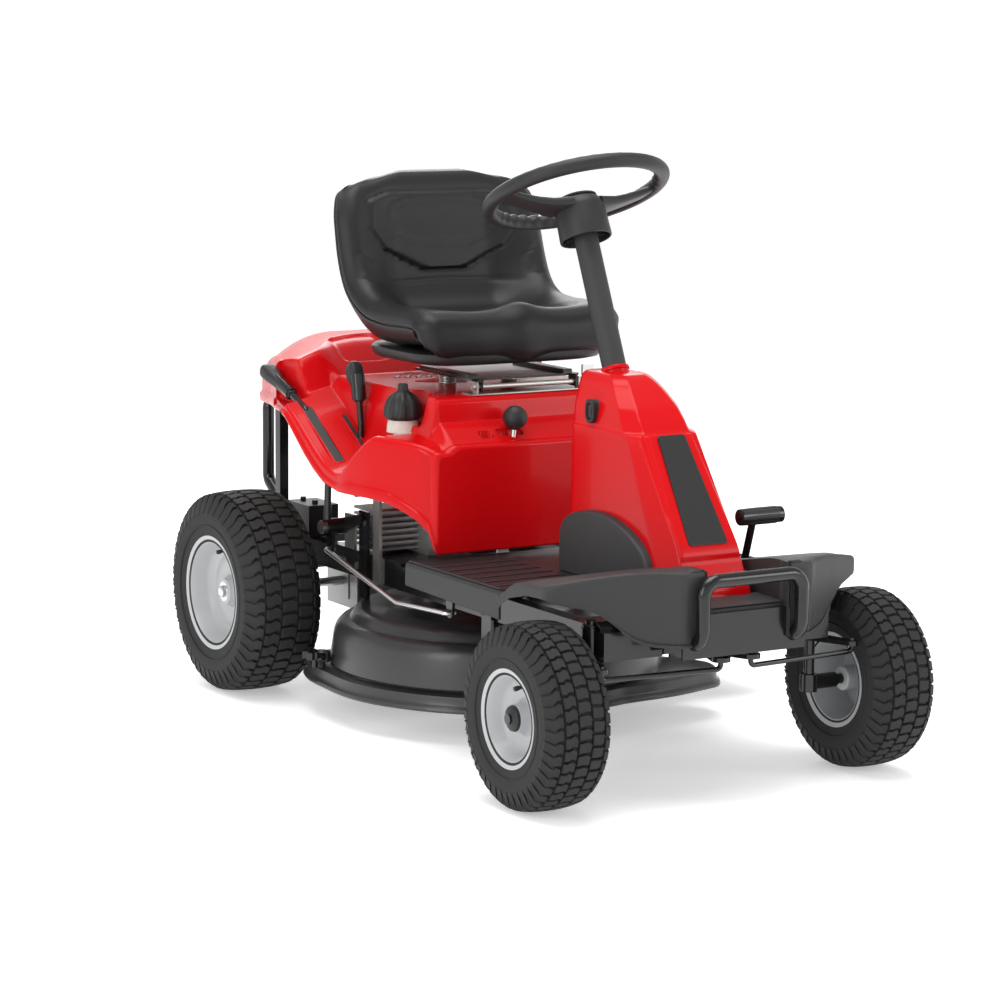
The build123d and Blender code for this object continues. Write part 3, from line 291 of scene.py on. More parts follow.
def tyre(name, body, centre, radius, width, bead, rim_half, count):
    half = width / 2
    b = Build()
    mid = bead + 0.45 * (radius - bead)
    profile = [(-rim_half, bead), (-rim_half - 1, bead + 8), (-half * 0.97, mid - 10), (-half, mid + 4),
               (-half * 0.975, mid + 16)]
    w = -half * 0.93
    while w <= 0:
        profile.append((w, tyre_radius(w, half, radius)))
        w += half * 0.093
    profile = [p for p in profile if p[0] <= 0] + [(-x, r) for x, r in reversed(profile) if x < 0]
    inner = [(x * 0.86, bead + (r - bead) * 0.86) for x, r in profile[1:-1]]
    loop = profile + [(rim_half - 8, bead)] + list(reversed(inner)) + [(-rim_half + 8, bead)]
    b.lathe(loop, centre, (1, 0, 0), 96, closed=True)
    rows = [(-0.98, -0.66), (-0.62, -0.24), (-0.20, 0.20), (0.24, 0.62), (0.66, 0.98)]
    wave = 2 * math.pi / count
    cx, cy, cz = centre
    for r_i, (a, c) in enumerate(rows):
        for n in range(count):
            mid_t = (n + 0.5 * (r_i % 2)) * wave
            edge = [(-0.42, 0.0), (-0.30, 0.33), (-0.42, 0.66), (-0.36, 1.0), (0.38, 1.0), (0.44, 0.66),
                    (0.56, 0.33), (0.44, 0.0)]
            ring_low, ring_mid, ring_top = [], [], []
            for s, q in edge:
                wave_s = 0.10 * math.sin(q * math.pi * 2 + r_i)
                for store, lift, inset in ((ring_low, -2.0, 0.0), (ring_mid, 5.2, 0.03),
                                           (ring_top, 6.4, 0.10)):
                    ss = (s + wave_s) * (1 - inset)
                    qq = 0.5 + (q - 0.5) * (1 - inset)
                    w = (a + (c - a) * qq) * half
                    t = mid_t + ss * wave * 0.94
                    fall = lift if lift < 0 else lift * (1.0 - 0.35 * step(0.85, 0.98, abs(w) / half))
                    rr = tyre_radius(w, half, radius) + fall
                    out = 0.0 if lift < 0 else 2.2 * step(0.84, 0.97, abs(w) / half) * (1 if w > 0 else -1)
                    w = max(-half, min(half, w + out))
                    store.append((cx + w, cy + rr * math.cos(t), cz + rr * math.sin(t)))
            b.grid([ring_low, ring_mid, ring_top], wrap_u=True)
            b.cap(ring_top)
    for sgn in (-1, 1):
        for ring_r in (mid + 2, mid - 12):
            b.lathe([(sgn * (half - 1.6), ring_r - 1.5), (sgn * (half - 0.4), ring_r),
                     (sgn * (half - 1.6), ring_r + 1.5)],
                    centre, (1, 0, 0), 96, closed=True)
    return b.make(name + "_tread", TYRE, body, slot="tyre", sharp=30, replaces=[name])


def rim(name, body, centre, side, bead, rim_half, flange, front):
    b = Build()
    out = side
    c = centre
    lip = rim_half + 3
    if front:
        dish = [(lip, flange), (lip, flange - 1.5), (lip - 1.5, flange - 4), (lip - 4, bead - 1),
                (lip - 14, bead - 6),
                (lip - 26, bead - 10), (lip - 34, bead - 16), (lip - 37, bead - 26), (lip - 37.5, 34),
                (lip - 34, 30), (lip - 30, 27), (lip - 20, 25), (lip - 14, 24), (lip - 13, 20)]
    else:
        dish = [(lip, flange), (lip, flange - 1.5), (lip - 1.5, flange - 4.5), (lip - 4, bead - 1),
                (lip - 16, bead - 5),
                (lip - 34, bead - 9), (lip - 44, bead - 15), (lip - 48, bead - 26), (lip - 44, bead - 36),
                (lip - 43, bead - 50), (lip - 47, 40), (lip - 46, 33), (lip - 36, 27), (lip - 30,
                        25), (lip - 29, 20)]
    inside = [(-lip, flange), (-lip, flange - 1.5), (-lip + 1.5, flange - 4), (-lip + 4, bead - 2),
              (-lip + 30, bead - 5)]
    last_a = dish[-5][0] - 6
    back = [(last_a, bead - 8), (last_a, 24), (-lip + 22, 22), (-lip + 20, 20)]
    b.lathe([(out * a, r) for a, r in reversed(dish)] + [(out * (lip - 0.5), flange + 0.0),
            (out * (lip - 3), flange),
            (out * (lip - 3), bead + 4), (out * (lip - 8), bead), (0, bead), (out * (-lip + 8), bead),
            (out * (-lip + 3), bead + 4), (out * (-lip + 3), flange)]
            + [(out * a, r) for a, r in inside + back], c, (1, 0, 0), 96)
    b.make(name + "_dish", RIM, body, slot="wheel_silver", sharp=40, replaces=[name])
    s = Build()
    ang = math.radians(80 if front else 96)
    vr = bead - (17 if front else 18)
    base = lip - (38 if front else 47)
    p = Vector((c[0], c[1] - vr * math.cos(ang) * 0.9, c[2] + vr * math.sin(ang)))
    s.lathe([(0, 6), (6, 6), (8, 3.6), (22, 3.6), (22, 4.6), (30, 4.2), (30.5, 0.1)],
            p + Vector((out * base, 0, 0)), (out, 0, -0.15), 20)
    s.make(name + "_valve", BLACK_PLASTIC, body, slot="charcoal_plastic")
    h = Build()
    if front:
        h.lathe([(out * (lip - 30), 24), (out * (lip - 13), 23.5), (out * (lip - 9), 22),
                 (out * (lip - 5), 16),
                 (out * (lip - 3.5), 6), (out * (lip - 3.4), 0.1)], c, (1, 0, 0), 40)
        h.make(name + "_cap", BLACK_PLASTIC, body, slot="charcoal_plastic")
    else:
        h.lathe([(out * (lip - 44), 20), (out * (lip - 28), 20), (out * (lip - 28), 12),
                 (out * (lip - 22), 11),
                 (out * (lip - 20), 8), (out * (lip - 19.8), 0.1)], c, (1, 0, 0), 40)
        h.make(name + "_cap", STEEL, body, slot="bright_steel")


for side, n in ((1, "left"), (-1, "right")):
    fc, rc = (side * 346.6, 0, 166), (side * 332.75, WHEELBASE, 203)
    tyre(f"front_tyre_{n}", f"front_wheel_{n}", fc, 166, 125, 76, 55, 44)
    rim(f"front_rim_{n}", f"front_wheel_{n}", fc, side, 76, 55, 88, True)
    tyre(f"rear_tyre_{n}", f"rear_wheel_{n}", rc, 203, 165, 102, 74, 46)
    rim(f"rear_rim_{n}", f"rear_wheel_{n}", rc, side, 102, 74, 115, False)


# ---------------------------------------------------------------- rear body
TOP = [(520, 550), (524, 556), (566, 590), (577, 597), (584, 602), (588, 634), (596, 643), (612, 645.5),
       (900, 648),
       (1400, 648)]
SIDE = [(520, 547), (560, 566), (600, 571), (650, 574), (662, 570), (700, 541), (738, 502), (748, 492),
        (760, 488),
        (955, 590), (1400, 826)]
CAP_MID = [(985, 716), (1130, 717), (1200, 713), (1260, 702), (1310, 676), (1350, 632), (1362, 606)]
CAP_SIDE = [(985, 655), (1060, 664), (1150, 664), (1230, 652), (1300, 622), (1362, 578)]
LOW = [(520, 362), (524, 378), (531, 399), (552, 423), (580, 439), (612, 452), (660, 457), (745, 458),
       (806, 469),
       (845, 488), (881, 511), (925, 545), (965, 576), (1000, 584), (1340, 562), (1362, 560)]
HALF = [(520, 240), (545, 262), (575, 280), (620, 303), (680, 324), (740, 333), (960, 333), (1010, 322),
        (1100, 288), (1200, 247), (1300, 213), (1340, 197), (1362, 178)]


def soft_min(a, b, r):
    """The smaller of two heights, blended over r."""
    h = max(0.0, min(1.0, 0.5 + 0.5 * (b - a) / r))
    return b * (1 - h) + a * h - r * h * (1 - h)


def top_height(x, y):
    """Height of the rear body's upper skin."""
    ax = abs(x)
    centre, side = soft_curve(TOP, y), soft_curve(SIDE, y)
    inner = 217 if y < 600 else 214
    t = step(inner - 12, inner + 12, ax)
    if 745 < y:
        side += 0.23 * (332 - ax) * step(745, 780, y)
        side = min(side, centre - 2)
    if 575 < y < 760:
        side = min(side, 574)
    z = centre * (1 - t) + side * t
    if x < 0 and y < 800:
        d = math.hypot(x + 222, (y - 690) / 1.2)
        z = z + (min(z, 586) - z) * (1 - step(40, 52, d))
    if y > 975:
        w = soft_curve(HALF, y)
        k = max(0.0, (ax - 95) / (w - 95)) if ax > 95 else 0.0
        cap = soft_curve(CAP_MID, y) + (soft_curve(CAP_SIDE, y) - soft_curve(CAP_MID, y)) * k ** 2.0
        ramp = z + (y - 985) * (0.72 + 0.5 * step(180, 240, ax))
        z = soft_min(cap, max(z, ramp), 16)
        z += (min(z, 592 + (y - 975) * 0.04) - z) * step(276, 286, ax)
        if -190 < x < -52 or 52 < x < 190:
            u, v = (ax - 121) / 58, (y - 1062) / 46
            z -= 7 * (1 - step(0.82, 1.0, (abs(u) ** 6 + abs(v) ** 6) ** (1 / 6)))
    if 528 < y < 578 and -150 < x < 60:
        for x0, x1, y0 in ((-132, -118, 549), (-92, -52, 551)):
            d = math.hypot(x - max(x0, min(x1, x)), y - y0)
            z -= 15 * (1 - step(5.5, 7.5, d))
    return z


def body_section(y):
    """One cross section of the rear body, from low edge to low edge."""
    w, low = soft_curve(HALF, y), curve(LOW, y)
    z_top = top_height(-(w - 8), y)
    r = max(4.0, min(11.0 + 6 * step(600, 700, y), (z_top - low) * 0.28))
    half = []
    z_edge = top_height(-(w - r), y)
    band = min(17, (z_edge - r - low) * 0.42)
    half += [(w + 0.5, low - 1), (w + 3.5, low - 1), (w + 5, low + 1.5), (w + 5.5, low + band * 0.7),
             (w + 4.5, low + band), (w + 0.8, low + band + 3), (w, low + band + 5)]
    z0 = low + band + 5
    half += [(w, z0 + (z_edge - r - z0) * k / 4) for k in (1, 2, 3)]
    for k in range(0, 6):
        a = math.radians(90 * k / 6)
        half.append((w - r + r * math.cos(a), z_edge - r + r * math.sin(a)))
    mid = [(x, top_height(x, y)) for x in np.linspace(-(w - r), w - r, 191)]
    pts = [(-x, z) for x, z in half] + mid + [(x, z) for x, z in reversed(half)]
    return [(x, y, z) for x, z in pts]


def rear_body():
    b = Build()
    ys = []
    for a, c, n in ((BODY_FRONT, 604, 30), (604, 660, 16), (660, 770, 40), (770, 960, 60), (960, 1120, 60),
                    (1120, 1330, 34), (1330, BODY_REAR, 10)):
        ys += list(np.linspace(a, c, n, endpoint=False))
    rows = []
    for k in range(9):
        a = math.radians(90 * k / 9)
        y = BODY_FRONT - 14 * math.cos(a)
        out = 11 * (1 - math.sin(a))
        row = [(x * (1 - out / 250), y, z - (out if z > 470 else 0)) for x, _, z in body_section(BODY_FRONT)]
        rows.append([(x, y, z - (curve(LOW, BODY_FRONT) - curve(LOW, y) if z < 470 else 0)) for x, _,
                     z in row])
    rows += [body_section(y) for y in ys + [BODY_REAR]]
    b.grid(rows)
    for loop, cx, cz, yy in ((rows[0], 0.965, 470, 520), (rows[-1], 0.95, 575, BODY_REAR + 2)):
        b.grid([loop, [(x * cx, yy, cz + (z - cz) * cx) for x, _, z in loop]], wrap_u=True)
        b.cap([(x * cx, yy, cz + (z - cz) * cx) for x, _, z in loop])
    o = b.make("rear_body_shell", RED, "chassis", slot="red_plastic", sharp=34, replaces=["rear_body"])
    s = o.modifiers.new("skin", "SOLIDIFY")
    s.thickness, s.offset = 0.004, -1
    o.modifiers.move(1, 0)


def lever_slots():
    """Slots for the two levers on the near wing, each with a thin raised rim; the open slots are drawn as flat black
    strips of painted shade just above the skin.
    """
    painted_shade, lip = Build(), Build()
    for x0, y0, y1, wide in ((-298, 812, 940, 9.5), (-238, 814, 902, 4.5)):
        rows, ring = [], []
        for y in np.linspace(y0 - wide, y1 + wide, 60):
            d = max(0.0, y0 - y, y - y1)
            half = math.sqrt(max(0.04, wide * wide - d * d))
            rows.append([(x0 + k * half, y, top_height(x0 + k * half, y) + 0.8) for k in (-1, -0.5, 0, 0.5,
                    1)])
        painted_shade.grid(rows)
        for t in np.linspace(0, 2 * math.pi, 96, endpoint=False):
            y_mid, c, s = (y1 if math.sin(t) > 0 else y0), math.cos(t), math.sin(t)
            ring.append([(x0 + (wide + k) * c, y_mid + (wide + k) * s,
                          top_height(x0 + (wide + k) * c, y_mid + (wide + k) * s) + h)
                         for k, h in ((-0.3, 0.2), (0, 1.8), (1.8, 1.8), (2.6, -0.4))])
        lip.grid(ring, wrap_v=True)
    # painted shade: flat black strips standing in for the shade inside the open lever slots
    painted_shade.make("lever_slot_painted_shade", BLACK_PLASTIC, "chassis", slot="charcoal_plastic", replaces=["lever_panel"])
    lip.make("lever_slot_rims", RED, "chassis", slot="red_plastic")


def vents():
    """Curved openings in the deck behind the seat, with raised rims; the openings are drawn as flat black strips of
    painted shade just above the skin.
    """
    b, painted_shade = Build(), Build()
    for ring_r in (34, 56, 78, 100, 122):
        for start in (200, 290, 20, 110):
            rows, low = [], []
            for a in range(0, 56, 4):
                t = math.radians(start + a + 5)
                row, row2 = [], []
                for dr, dz in ((-6.5, 0.0), (-5.5, 1.8), (-3.4, 1.8), (-3.0, 0.5), (3.0, 0.5), (3.4, 1.8),
                               (5.5, 1.8), (6.5, 0.0)):
                    x, y = (ring_r + dr) * math.cos(t), VENT_Y + (ring_r + dr) * 0.78 * math.sin(t)
                    row.append((x, y, top_height(x, y) + dz))
                    if abs(dr) <= 3.0:
                        row2.append((x, y, top_height(x, y) + 0.7))
                rows.append(row)
                low.append(row2)
            b.grid(rows)
            painted_shade.grid(low)
    b.make("deck_louvres", RED, "chassis", slot="red_plastic")
    # painted shade: flat black strips standing in for the shade inside the vent openings
    painted_shade.make("deck_vent_painted_shade", BLACK_PLASTIC, "chassis", slot="charcoal_plastic")


rear_body()
lever_slots()
vents()


# ---------------------------------------------------------------- steering tower
def tower():
    """Tapered tower with chamfered front corners, a raised front panel and a shoulder seam."""
    table = [(350, -50, 335, 86), (362, -47, 335, 86), (440, -8.2, 332, 79), (560, 76.9, 333, 76),
             (612, 113.8, 335, 74.5),
             (621, 120, 336, 74), (624, 123.5, 336, 71.5), (628, 128, 337, 70), (640, 137, 338, 69), (665,
                     158, 341, 64),
             (690, 187, 345, 55), (706, 208, 349, 47), (714, 222, 350, 41), (717.6, 232, 346, 36)]
    b = Build()
    rows = []
    zs = list(np.linspace(350, 608, 60)) + [613, 618, 620.5, 622, 624, 627, 632, 640]
    for z in zs + list(np.linspace(646, 714, 14)) + [716.4, 717.8]:
        f, r, h = (curve([(t[0], t[k]) for t in table], z) for k in (1, 2, 3))
        cut_x = curve([(350, 16), (620, 12), (624, 20), (718, 16)], z)
        cut_y = curve([(350, 66), (440, 58), (620, 22), (624, 34), (718, 24)], z)
        key = [(h, r - 14), (h - 4, r - 4), (h - 14, r), (-(h - 14), r), (-(h - 4), r - 4), (-h, r - 14),
               (-h, f + cut_y), (-h + cut_x, f + 2.5), (-h + cut_x + 3, f), (h - cut_x - 3, f), (h - cut_x,
                       f + 2.5),
               (h, f + cut_y)]
        full = []
        for i, (px, py) in enumerate(key):
            qx, qy = key[(i + 1) % len(key)]
            m = {2: 16, 5: 30, 6: 6, 8: 44, 10: 6, 11: 30}.get(i, 2)
            for k in range(m):
                full.append([px + (qx - px) * k / m, py + (qy - py) * k / m, z])
        edge = curve([(418, 69), (634, 50)], z)
        for p in full:
            if p[1] < f + 1 and z < 621:
                p[1] -= 6.0 * (1 - step(edge - 7, edge, abs(p[0]))) * step(412, 426, z)
        rows.append([tuple(p) for p in full])
    b.grid(rows, wrap_u=True)
    top = rows[-1]
    col_y = COLUMN_Y - (COLUMN_Z - 720) * math.tan(TILT)
    ring = []
    for p in top:
        a = math.atan2(p[1] - col_y, p[0])
        ring.append((24.5 * math.cos(a), col_y + 27 * math.sin(a), 719.5))
    low = [(x * 0.98, col_y + (y - col_y) * 0.98, 706) for x, y, z in ring]
    b.grid([top, ring, low], wrap_u=True)
    o = b.make("tower_shell", RED, "chassis", slot="red_plastic", sharp=24, replaces=["tower_cover"])
    s = o.modifiers.new("bevel", "BEVEL")
    s.width, s.segments, s.limit_method, s.angle_limit = 0.0022, 2, "ANGLE", math.radians(24)
    o.modifiers.move(1, 0)


def tower_panel():
    """Plain black inlay."""
    low, high = Vector((0, -10.5, 438)), Vector((0, 115, 618))
    rise = (high - low).normalized()
    out = Vector((0, -rise.z, rise.y))
    length = (high - low).length
    b = Build()
    outline = []
    for cx, cy, a0 in ((29 - 6, length - 6, 0), (-29 + 6, length - 6, 90), (-41 + 6, 6, 180),
                       (41 - 6, 6, 270)):
        for k in range(7):
            a = math.radians(a0 + 90 * k / 6)
            outline.append((cx + 6 * math.cos(a), cy + 6 * math.sin(a)))
    rows = []
    for lift, inset in ((1.5, 1.0), (6.0, 1.0), (6.5, 0.985)):
        rows.append([low + out * lift + Vector((x * inset, 0,
                0)) + rise * (length / 2 + (y - length / 2) * inset)
                     for x, y in outline])
    b.grid(rows, wrap_u=True)
    b.cap(rows[-1])
    b.make("tower_inlay", PANEL, "chassis", slot="charcoal_plastic", replaces=["tower_panel"])


tower()
tower_panel()


# ---------------------------------------------------------------- fenders, toe boards, running board
def fender_height(x, y):
    ax = abs(x)
    z = soft_curve([(-140, 419), (-105, 421), (0, 405), (60, 395), (106, 382), (140, 362), (170, 351),
                    (205, 350)], y)
    return z - (12 * ((ax - 95) / 235) ** 2 * step(120, 0, y) if ax > 95 else 0)


def fenders():
    b = Build()
    edge = [(290, 203, 338), (304, 199, 336), (322, 170, 326), (331, 150, 336), (332, 120, 352),
            (332, 60, 366), (332, 6, 368),
            (330, -4, 366), (322, -13, 362), (300, -27, 357), (275, -43, 352), (255, -56, 344), (238, -67,
                    330), (220, -78, 313),
            (203, -89, 300), (186, -100, 293), (172, -109, 290), (160, -117, 289), (146, -129, 289), (139,
                    -135, 289),
            (128, -138, 289), (112, -138, 289), (95, -138, 289), (91, -138, 289)]
    path = []
    for (x0, y0, l0), (x1, y1, l1) in zip(edge, edge[1:]):
        for k in range(4):
            path.append((x0 + (x1 - x0) * k / 4, y0 + (y1 - y0) * k / 4, l0 + (l1 - l0) * k / 4))
    path.append(edge[-1])
    rows = []
    for i, (x, y, low) in enumerate(path):
        p, q = path[max(i - 1, 0)], path[min(i + 1, len(path) - 1)]
        d = Vector((q[0] - p[0], q[1] - p[1], 0)).normalized()
        inward = Vector((d.y, -d.x, 0))
        if inward.x > 0 and x > 200:
            inward = -inward
        row = []
        zt = fender_height(x, y)
        foot = 4.0 * step(60, 140, zt - low)
        for off, z in ((3.4, low + 3), (2.6, low), (0.6 + foot, low), (foot, low + 1.2),
                       (foot * 0.6, low + (zt - low) * 0.3),
                       (0, low + (zt - low) * 0.6), (0, zt - 9), (0.7, zt - 5.4), (2.6, zt - 2.2), (5.6,
                               zt - 0.6)):
            row.append((x + inward.x * off, y + inward.y * off, z))
        ty = max(-126, min(y, 196))
        for u in (0.12, 0.3, 0.55, 0.8, 1.0):
            px, py = x + inward.x * 9 * (1 - u) + (90 - x) * u * 0.999, y + inward.y * 9 * (1 - u) + (ty - y) * u * 0.6
            row.append((px, py, fender_height(px, py)))
        rows.append(row)
    b.grid(rows)
    b.grid([[(90, y, fender_height(90, y)) for y in np.linspace(-138, 203, 40)],
            [(90, y, 340) for y in np.linspace(-138, 203, 40)]])
    b.mirrored()
    for s in (-1, 1):
        wall = [[(s * 91, -138, z), (s * 91, -120, z), (s * 86, -112, z)] for z in (419, 400, 350, 289)]
        b.grid(wall)
    chin = []
    for z, y in ((349, -118), (346, -121.5), (300, -123), (292, -121), (289, -116)):
        chin.append([(x, y, z) for x in (-91, -60, 0, 60, 91)])
    b.grid(chin)
    b.grid([[(-91, -121, 347.5), (91, -121, 347.5)], [(-91, -40, 349.5), (91, -40, 349.5)]])
    o = b.make("fender_shell", CHARCOAL, "chassis", slot="charcoal_plastic", sharp=30,
               replaces=["fender_moulding"])
    s = o.modifiers.new("skin", "SOLIDIFY")
    s.thickness, s.offset = 0.003, -1
    o.modifiers.move(1, 0)
    w = Build()
    shape = [(28, 352), (32, 385), (39, 403), (50, 417), (64, 429), (84, 441), (106, 452), (128, 460),
             (149, 466), (180, 472),
             (209, 474), (232, 473.5), (252, 471.5), (275, 467), (295, 461), (312, 452), (325, 440), (332,
                     424), (333, 400), (333, 352)]
    arc = [(soft_curve([(k, p[0]) for k, p in enumerate(shape)], t),
            soft_curve([(k, p[1]) for k, p in enumerate(shape)], t))
           for t in np.linspace(0, len(shape) - 1, 60)]
    rings = []
    for x, k in ((70, 1.0), (92, 1.0), (95, 0.99), (96.6, 0.975), (97.2, 0.955)):
        rings.append([(x, 190 + (y - 190) * k, 352 + (z - 352) * (k if z > 360 else 1)) for y, z in arc])
    w.grid(rings)
    w.cap(rings[-1])
    w.mirrored()
    w.make("tower_cheeks", CHARCOAL, "chassis", slot="charcoal_plastic", sharp=40)


def running_board():
    b = Build()
    for s in (-1, 1):
        sec = [(90, 345), (90, 350), (291, 350), (296, 349), (299, 346), (300, 342), (300.5, 340),
               (301, 306), (299, 304),
               (296, 304), (296, 344), (294, 345.5)]
        rows = []
        for y in (204, 206, 300, 400, 520, 543, 545):
            row = [(s * x, y, z - (8 - 8 * (y - 204) / 341 if z < 330 else 0)) for x, z in sec]
            rows.append(row if s > 0 else list(reversed(row)))
        b.solid(rows)
        for k in range(6):
            b.box(*sorted((s * 112, s * 284)), 236 + k * 44, 244 + k * 44, 349.5, 352.2, 1.2)
        b.box(*sorted((s * 290, s * 297)), 210, 540, 349, 353, 1.5)
    b.box(-90, 90, 345, 545, 345, 350)
    b.make("foot_board", BLACK_PLASTIC, "chassis", slot="charcoal_plastic", sharp=35,
           replaces=["running_board"])


fenders()
running_board()


# ---------------------------------------------------------------- seat
CENTRE = [(0.00, 620, 715), (0.03, 607, 728), (0.07, 602, 749), (0.11, 605, 771), (0.15, 618, 791),
          (0.20, 645, 802),
          (0.27, 695, 790), (0.36, 765, 779), (0.45, 835, 775), (0.52, 886, 785), (0.58, 913, 812), (0.65,
                  927, 850),
          (0.74, 937, 905), (0.83, 944, 965), (0.90, 951, 1010), (0.94, 958, 1034), (0.97, 968, 1048), (1.00,
                  985, 1052)]
BOLSTER = [(0.00, 624, 717), (0.03, 612, 728), (0.07, 607, 749), (0.11, 610, 773), (0.15, 622, 794),
           (0.20, 648, 806),
           (0.27, 695, 808), (0.36, 755, 807), (0.45, 815, 812), (0.52, 852, 826), (0.58, 880, 848), (0.65,
                   898, 880),
           (0.74, 914, 925), (0.83, 930, 975), (0.90, 945, 1010), (0.94, 956, 1027), (0.97, 968,
                   1036), (1.00, 985, 1040)]
WIDTH = [(0.0, 196), (0.03, 207), (0.08, 216), (0.2, 224), (0.45, 226), (0.6, 228), (0.8, 226), (0.88, 218),
         (0.94, 200),
         (0.975, 172), (1.0, 146)]
OUTER = [(-118, 1013), (118, 1013), (164, 1000), (170, 940), (134, 898), (48, 857), (-48, 857), (-134, 898),
         (-170, 940),
         (-164, 1000)]
INNER = [(-70, 998), (70, 998), (116, 985), (112, 925), (60, 907), (-60, 907), (-112, 925), (-116, 985)]


def polygon_distance(poly, x, z):
    """Distance to a closed outline, below zero inside it."""
    best, inside = 1e9, False
    for (x0, z0), (x1, z1) in zip(poly, poly[1:] + poly[:1]):
        dx, dz = x1 - x0, z1 - z0
        t = max(0.0, min(1.0, ((x - x0) * dx + (z - z0) * dz) / (dx * dx + dz * dz)))
        best = min(best, math.hypot(x - x0 - t * dx, z - z0 - t * dz))
        if (z0 > z) != (z1 > z) and x < x0 + (z - z0) / (z1 - z0) * (x1 - x0):
            inside = not inside
    return -best if inside else best


def seat_detail(x, y, z):
    """Raised panels, grooves and hollows of the seat's face, along its normal."""
    out = 0.0
    if z > 815:
        a, b = polygon_distance(OUTER, x, z), polygon_distance(INNER, x, z)
        out += 5.0 * step(2, -7, a) if a < 2 else 0
        out -= 4.0 * math.exp(-((a + 0.5) / 2.6) ** 2)
        out -= 3.4 * math.exp(-(b / 2.2) ** 2) + (2.0 if b < -1 else 0) * step(-1, -12, b)
        pocket = polygon_distance([(172, 884), (206, 900), (214, 850), (180, 846)], abs(x), z)
        out -= 2.6 * math.exp(-(pocket / 2.2) ** 2)
        out -= 3.0 * math.exp(-((z - (838 - 6 * abs(x) / 200)) / 5) ** 2) * (1 - step(150, 175, abs(x)))
    if z < 830:
        ax = abs(x)
        out += 14 * math.exp(-(x / 40) ** 2) * math.exp(-((y - 640) / 42) ** 2)
        ring = math.hypot((ax - 100) / 66, (y - 712) / 62)
        out -= 9.0 * (1 - step(0.3, 1.15, ring))
        out -= 2.6 * math.exp(-((ring - 1.0) / 0.035) ** 2) * (1 - step(700, 745, y))
        out -= 2.4 * math.exp(-((y - 792) / 3) ** 2) * (1 - step(120, 150, ax)) * step(18, 30, ax)
    return out


def seat_section(s):
    """One closed section across the cushion, square to its length."""
    def at(table, k, q):
        return soft_curve([(t[0], t[k]) for t in table], q)
    eps = 0.004
    c = Vector((0, at(CENTRE, 1, s), at(CENTRE, 2, s)))
    e = Vector((0, at(BOLSTER, 1, s), at(BOLSTER, 2, s)))
    q0, q1 = max(0, s - eps), min(1, s + eps)
    d = Vector((0, at(CENTRE, 1, q1) - at(CENTRE, 1, q0), at(CENTRE, 2, q1) - at(CENTRE, 2, q0))).normalized()
    n = Vector((0, -d.z, d.y))
    w = at([(a, 0, b) for a, b in WIDTH], 2, s)
    thick = curve([(0, 26), (0.1, 50), (0.2, 62), (0.45, 62), (0.58, 58), (0.7, 46), (0.92, 38), (1.0, 14)],
                  s)
    face = []
    m = 66
    for i in range(m + 1):
        t = -1 + 2 * i / m
        g = step(0.42, 0.88, abs(t))
        p = c * (1 - g) + e * g
        p.x = t * w
        roll = max(0.0, (abs(t) - 0.86) / 0.14)
        face.append(p + n * (seat_detail(p.x, p.y, p.z) * (1 - roll) - 17 * roll ** 2.4))
    sides = []
    edge = e
    for depth, out in ((21, 3.5), (27, 4.5), (32, 4.5), (34, 3.5), (35, 0.5), (36.5, 0.5), (37.5, 3.2),
                       (42, 3.5)):
        k = min(1.0, thick / 46)
        sides.append((out * k, depth * k))
    right = [edge + n * -dd + Vector((w + o, 0, 0)) for o, dd in sides]
    right += [edge + n * -max(thick * 0.97, 43 * min(1, thick / 46)) + Vector((w - 8, 0, 0)),
              edge * 0.7 + c * 0.3 + n * -(thick + 3) + Vector((w - 26, 0, 0))]
    left = [Vector((-p.x, p.y, p.z)) for p in reversed(right)]
    back = []
    for i in range(1, 8):
        t = 1 - i / 4
        g = step(0.3, 1.0, abs(t))
        back.append((c * (1 - g * 0.7) + e * g * 0.7) + n * -(thick + 3) + Vector((t * (w - 26), 0, 0)))
    return face + right + back + left


def seat():
    b = Build()
    rows = []
    for s in np.linspace(0, 1, 132):
        rows.append(seat_section(float(s)))
    first, last = rows[0], rows[-1]
    mid = sum(first, Vector()) / len(first)
    b.solid([[mid + (p - mid) * 0.9 + Vector((0, 2, -3)) for p in first]] + rows +
            [[p * 0.4 + Vector((p.x, 996, 1034)) * 0.6 for p in last],
             [Vector((p.x * 0.96, 1000, 1024)) for p in last]])
    o = b.make("seat_bucket", VINYL, "seat", slot="seat_vinyl", sharp=50, replaces=["seat_cushion"])
    t = Build()
    rows = []
    for z, k in ((727, 0.93), (722, 0.955), (712, 0.95), (703, 0.92), (699.5, 0.85)):
        ring = []
        for a in np.linspace(0, 2 * math.pi, 96, endpoint=False):
            c, s = math.cos(a), math.sin(a)
            ring.append((222 * k * math.copysign(abs(c) ** 0.42, c),
                         758 + (150 * k) * math.copysign(abs(s) ** 0.45, s), z))
        rows.append(ring)
    t.solid(rows)
    t.make("seat_under_shell", BLACK_PLASTIC, "seat", slot="black_metal", sharp=50, replaces=["seat_pan"])


seat()


# ---------------------------------------------------------------- steering wheel
AXIS = Vector((0, math.sin(TILT), math.cos(TILT)))
FORE = AXIS.cross(Vector((1, 0, 0)))
RING_CENTRE = Vector((0, COLUMN_Y + (RING_Z - COLUMN_Z) * math.tan(TILT), RING_Z))


def on_wheel(r, angle, up):
    """A point in the steering wheel's own plane, `up` along the column from its rim plane."""
    return RING_CENTRE + AXIS * up + Vector((1, 0, 0)) * (r * math.cos(angle)) + FORE * (r * math.sin(angle))


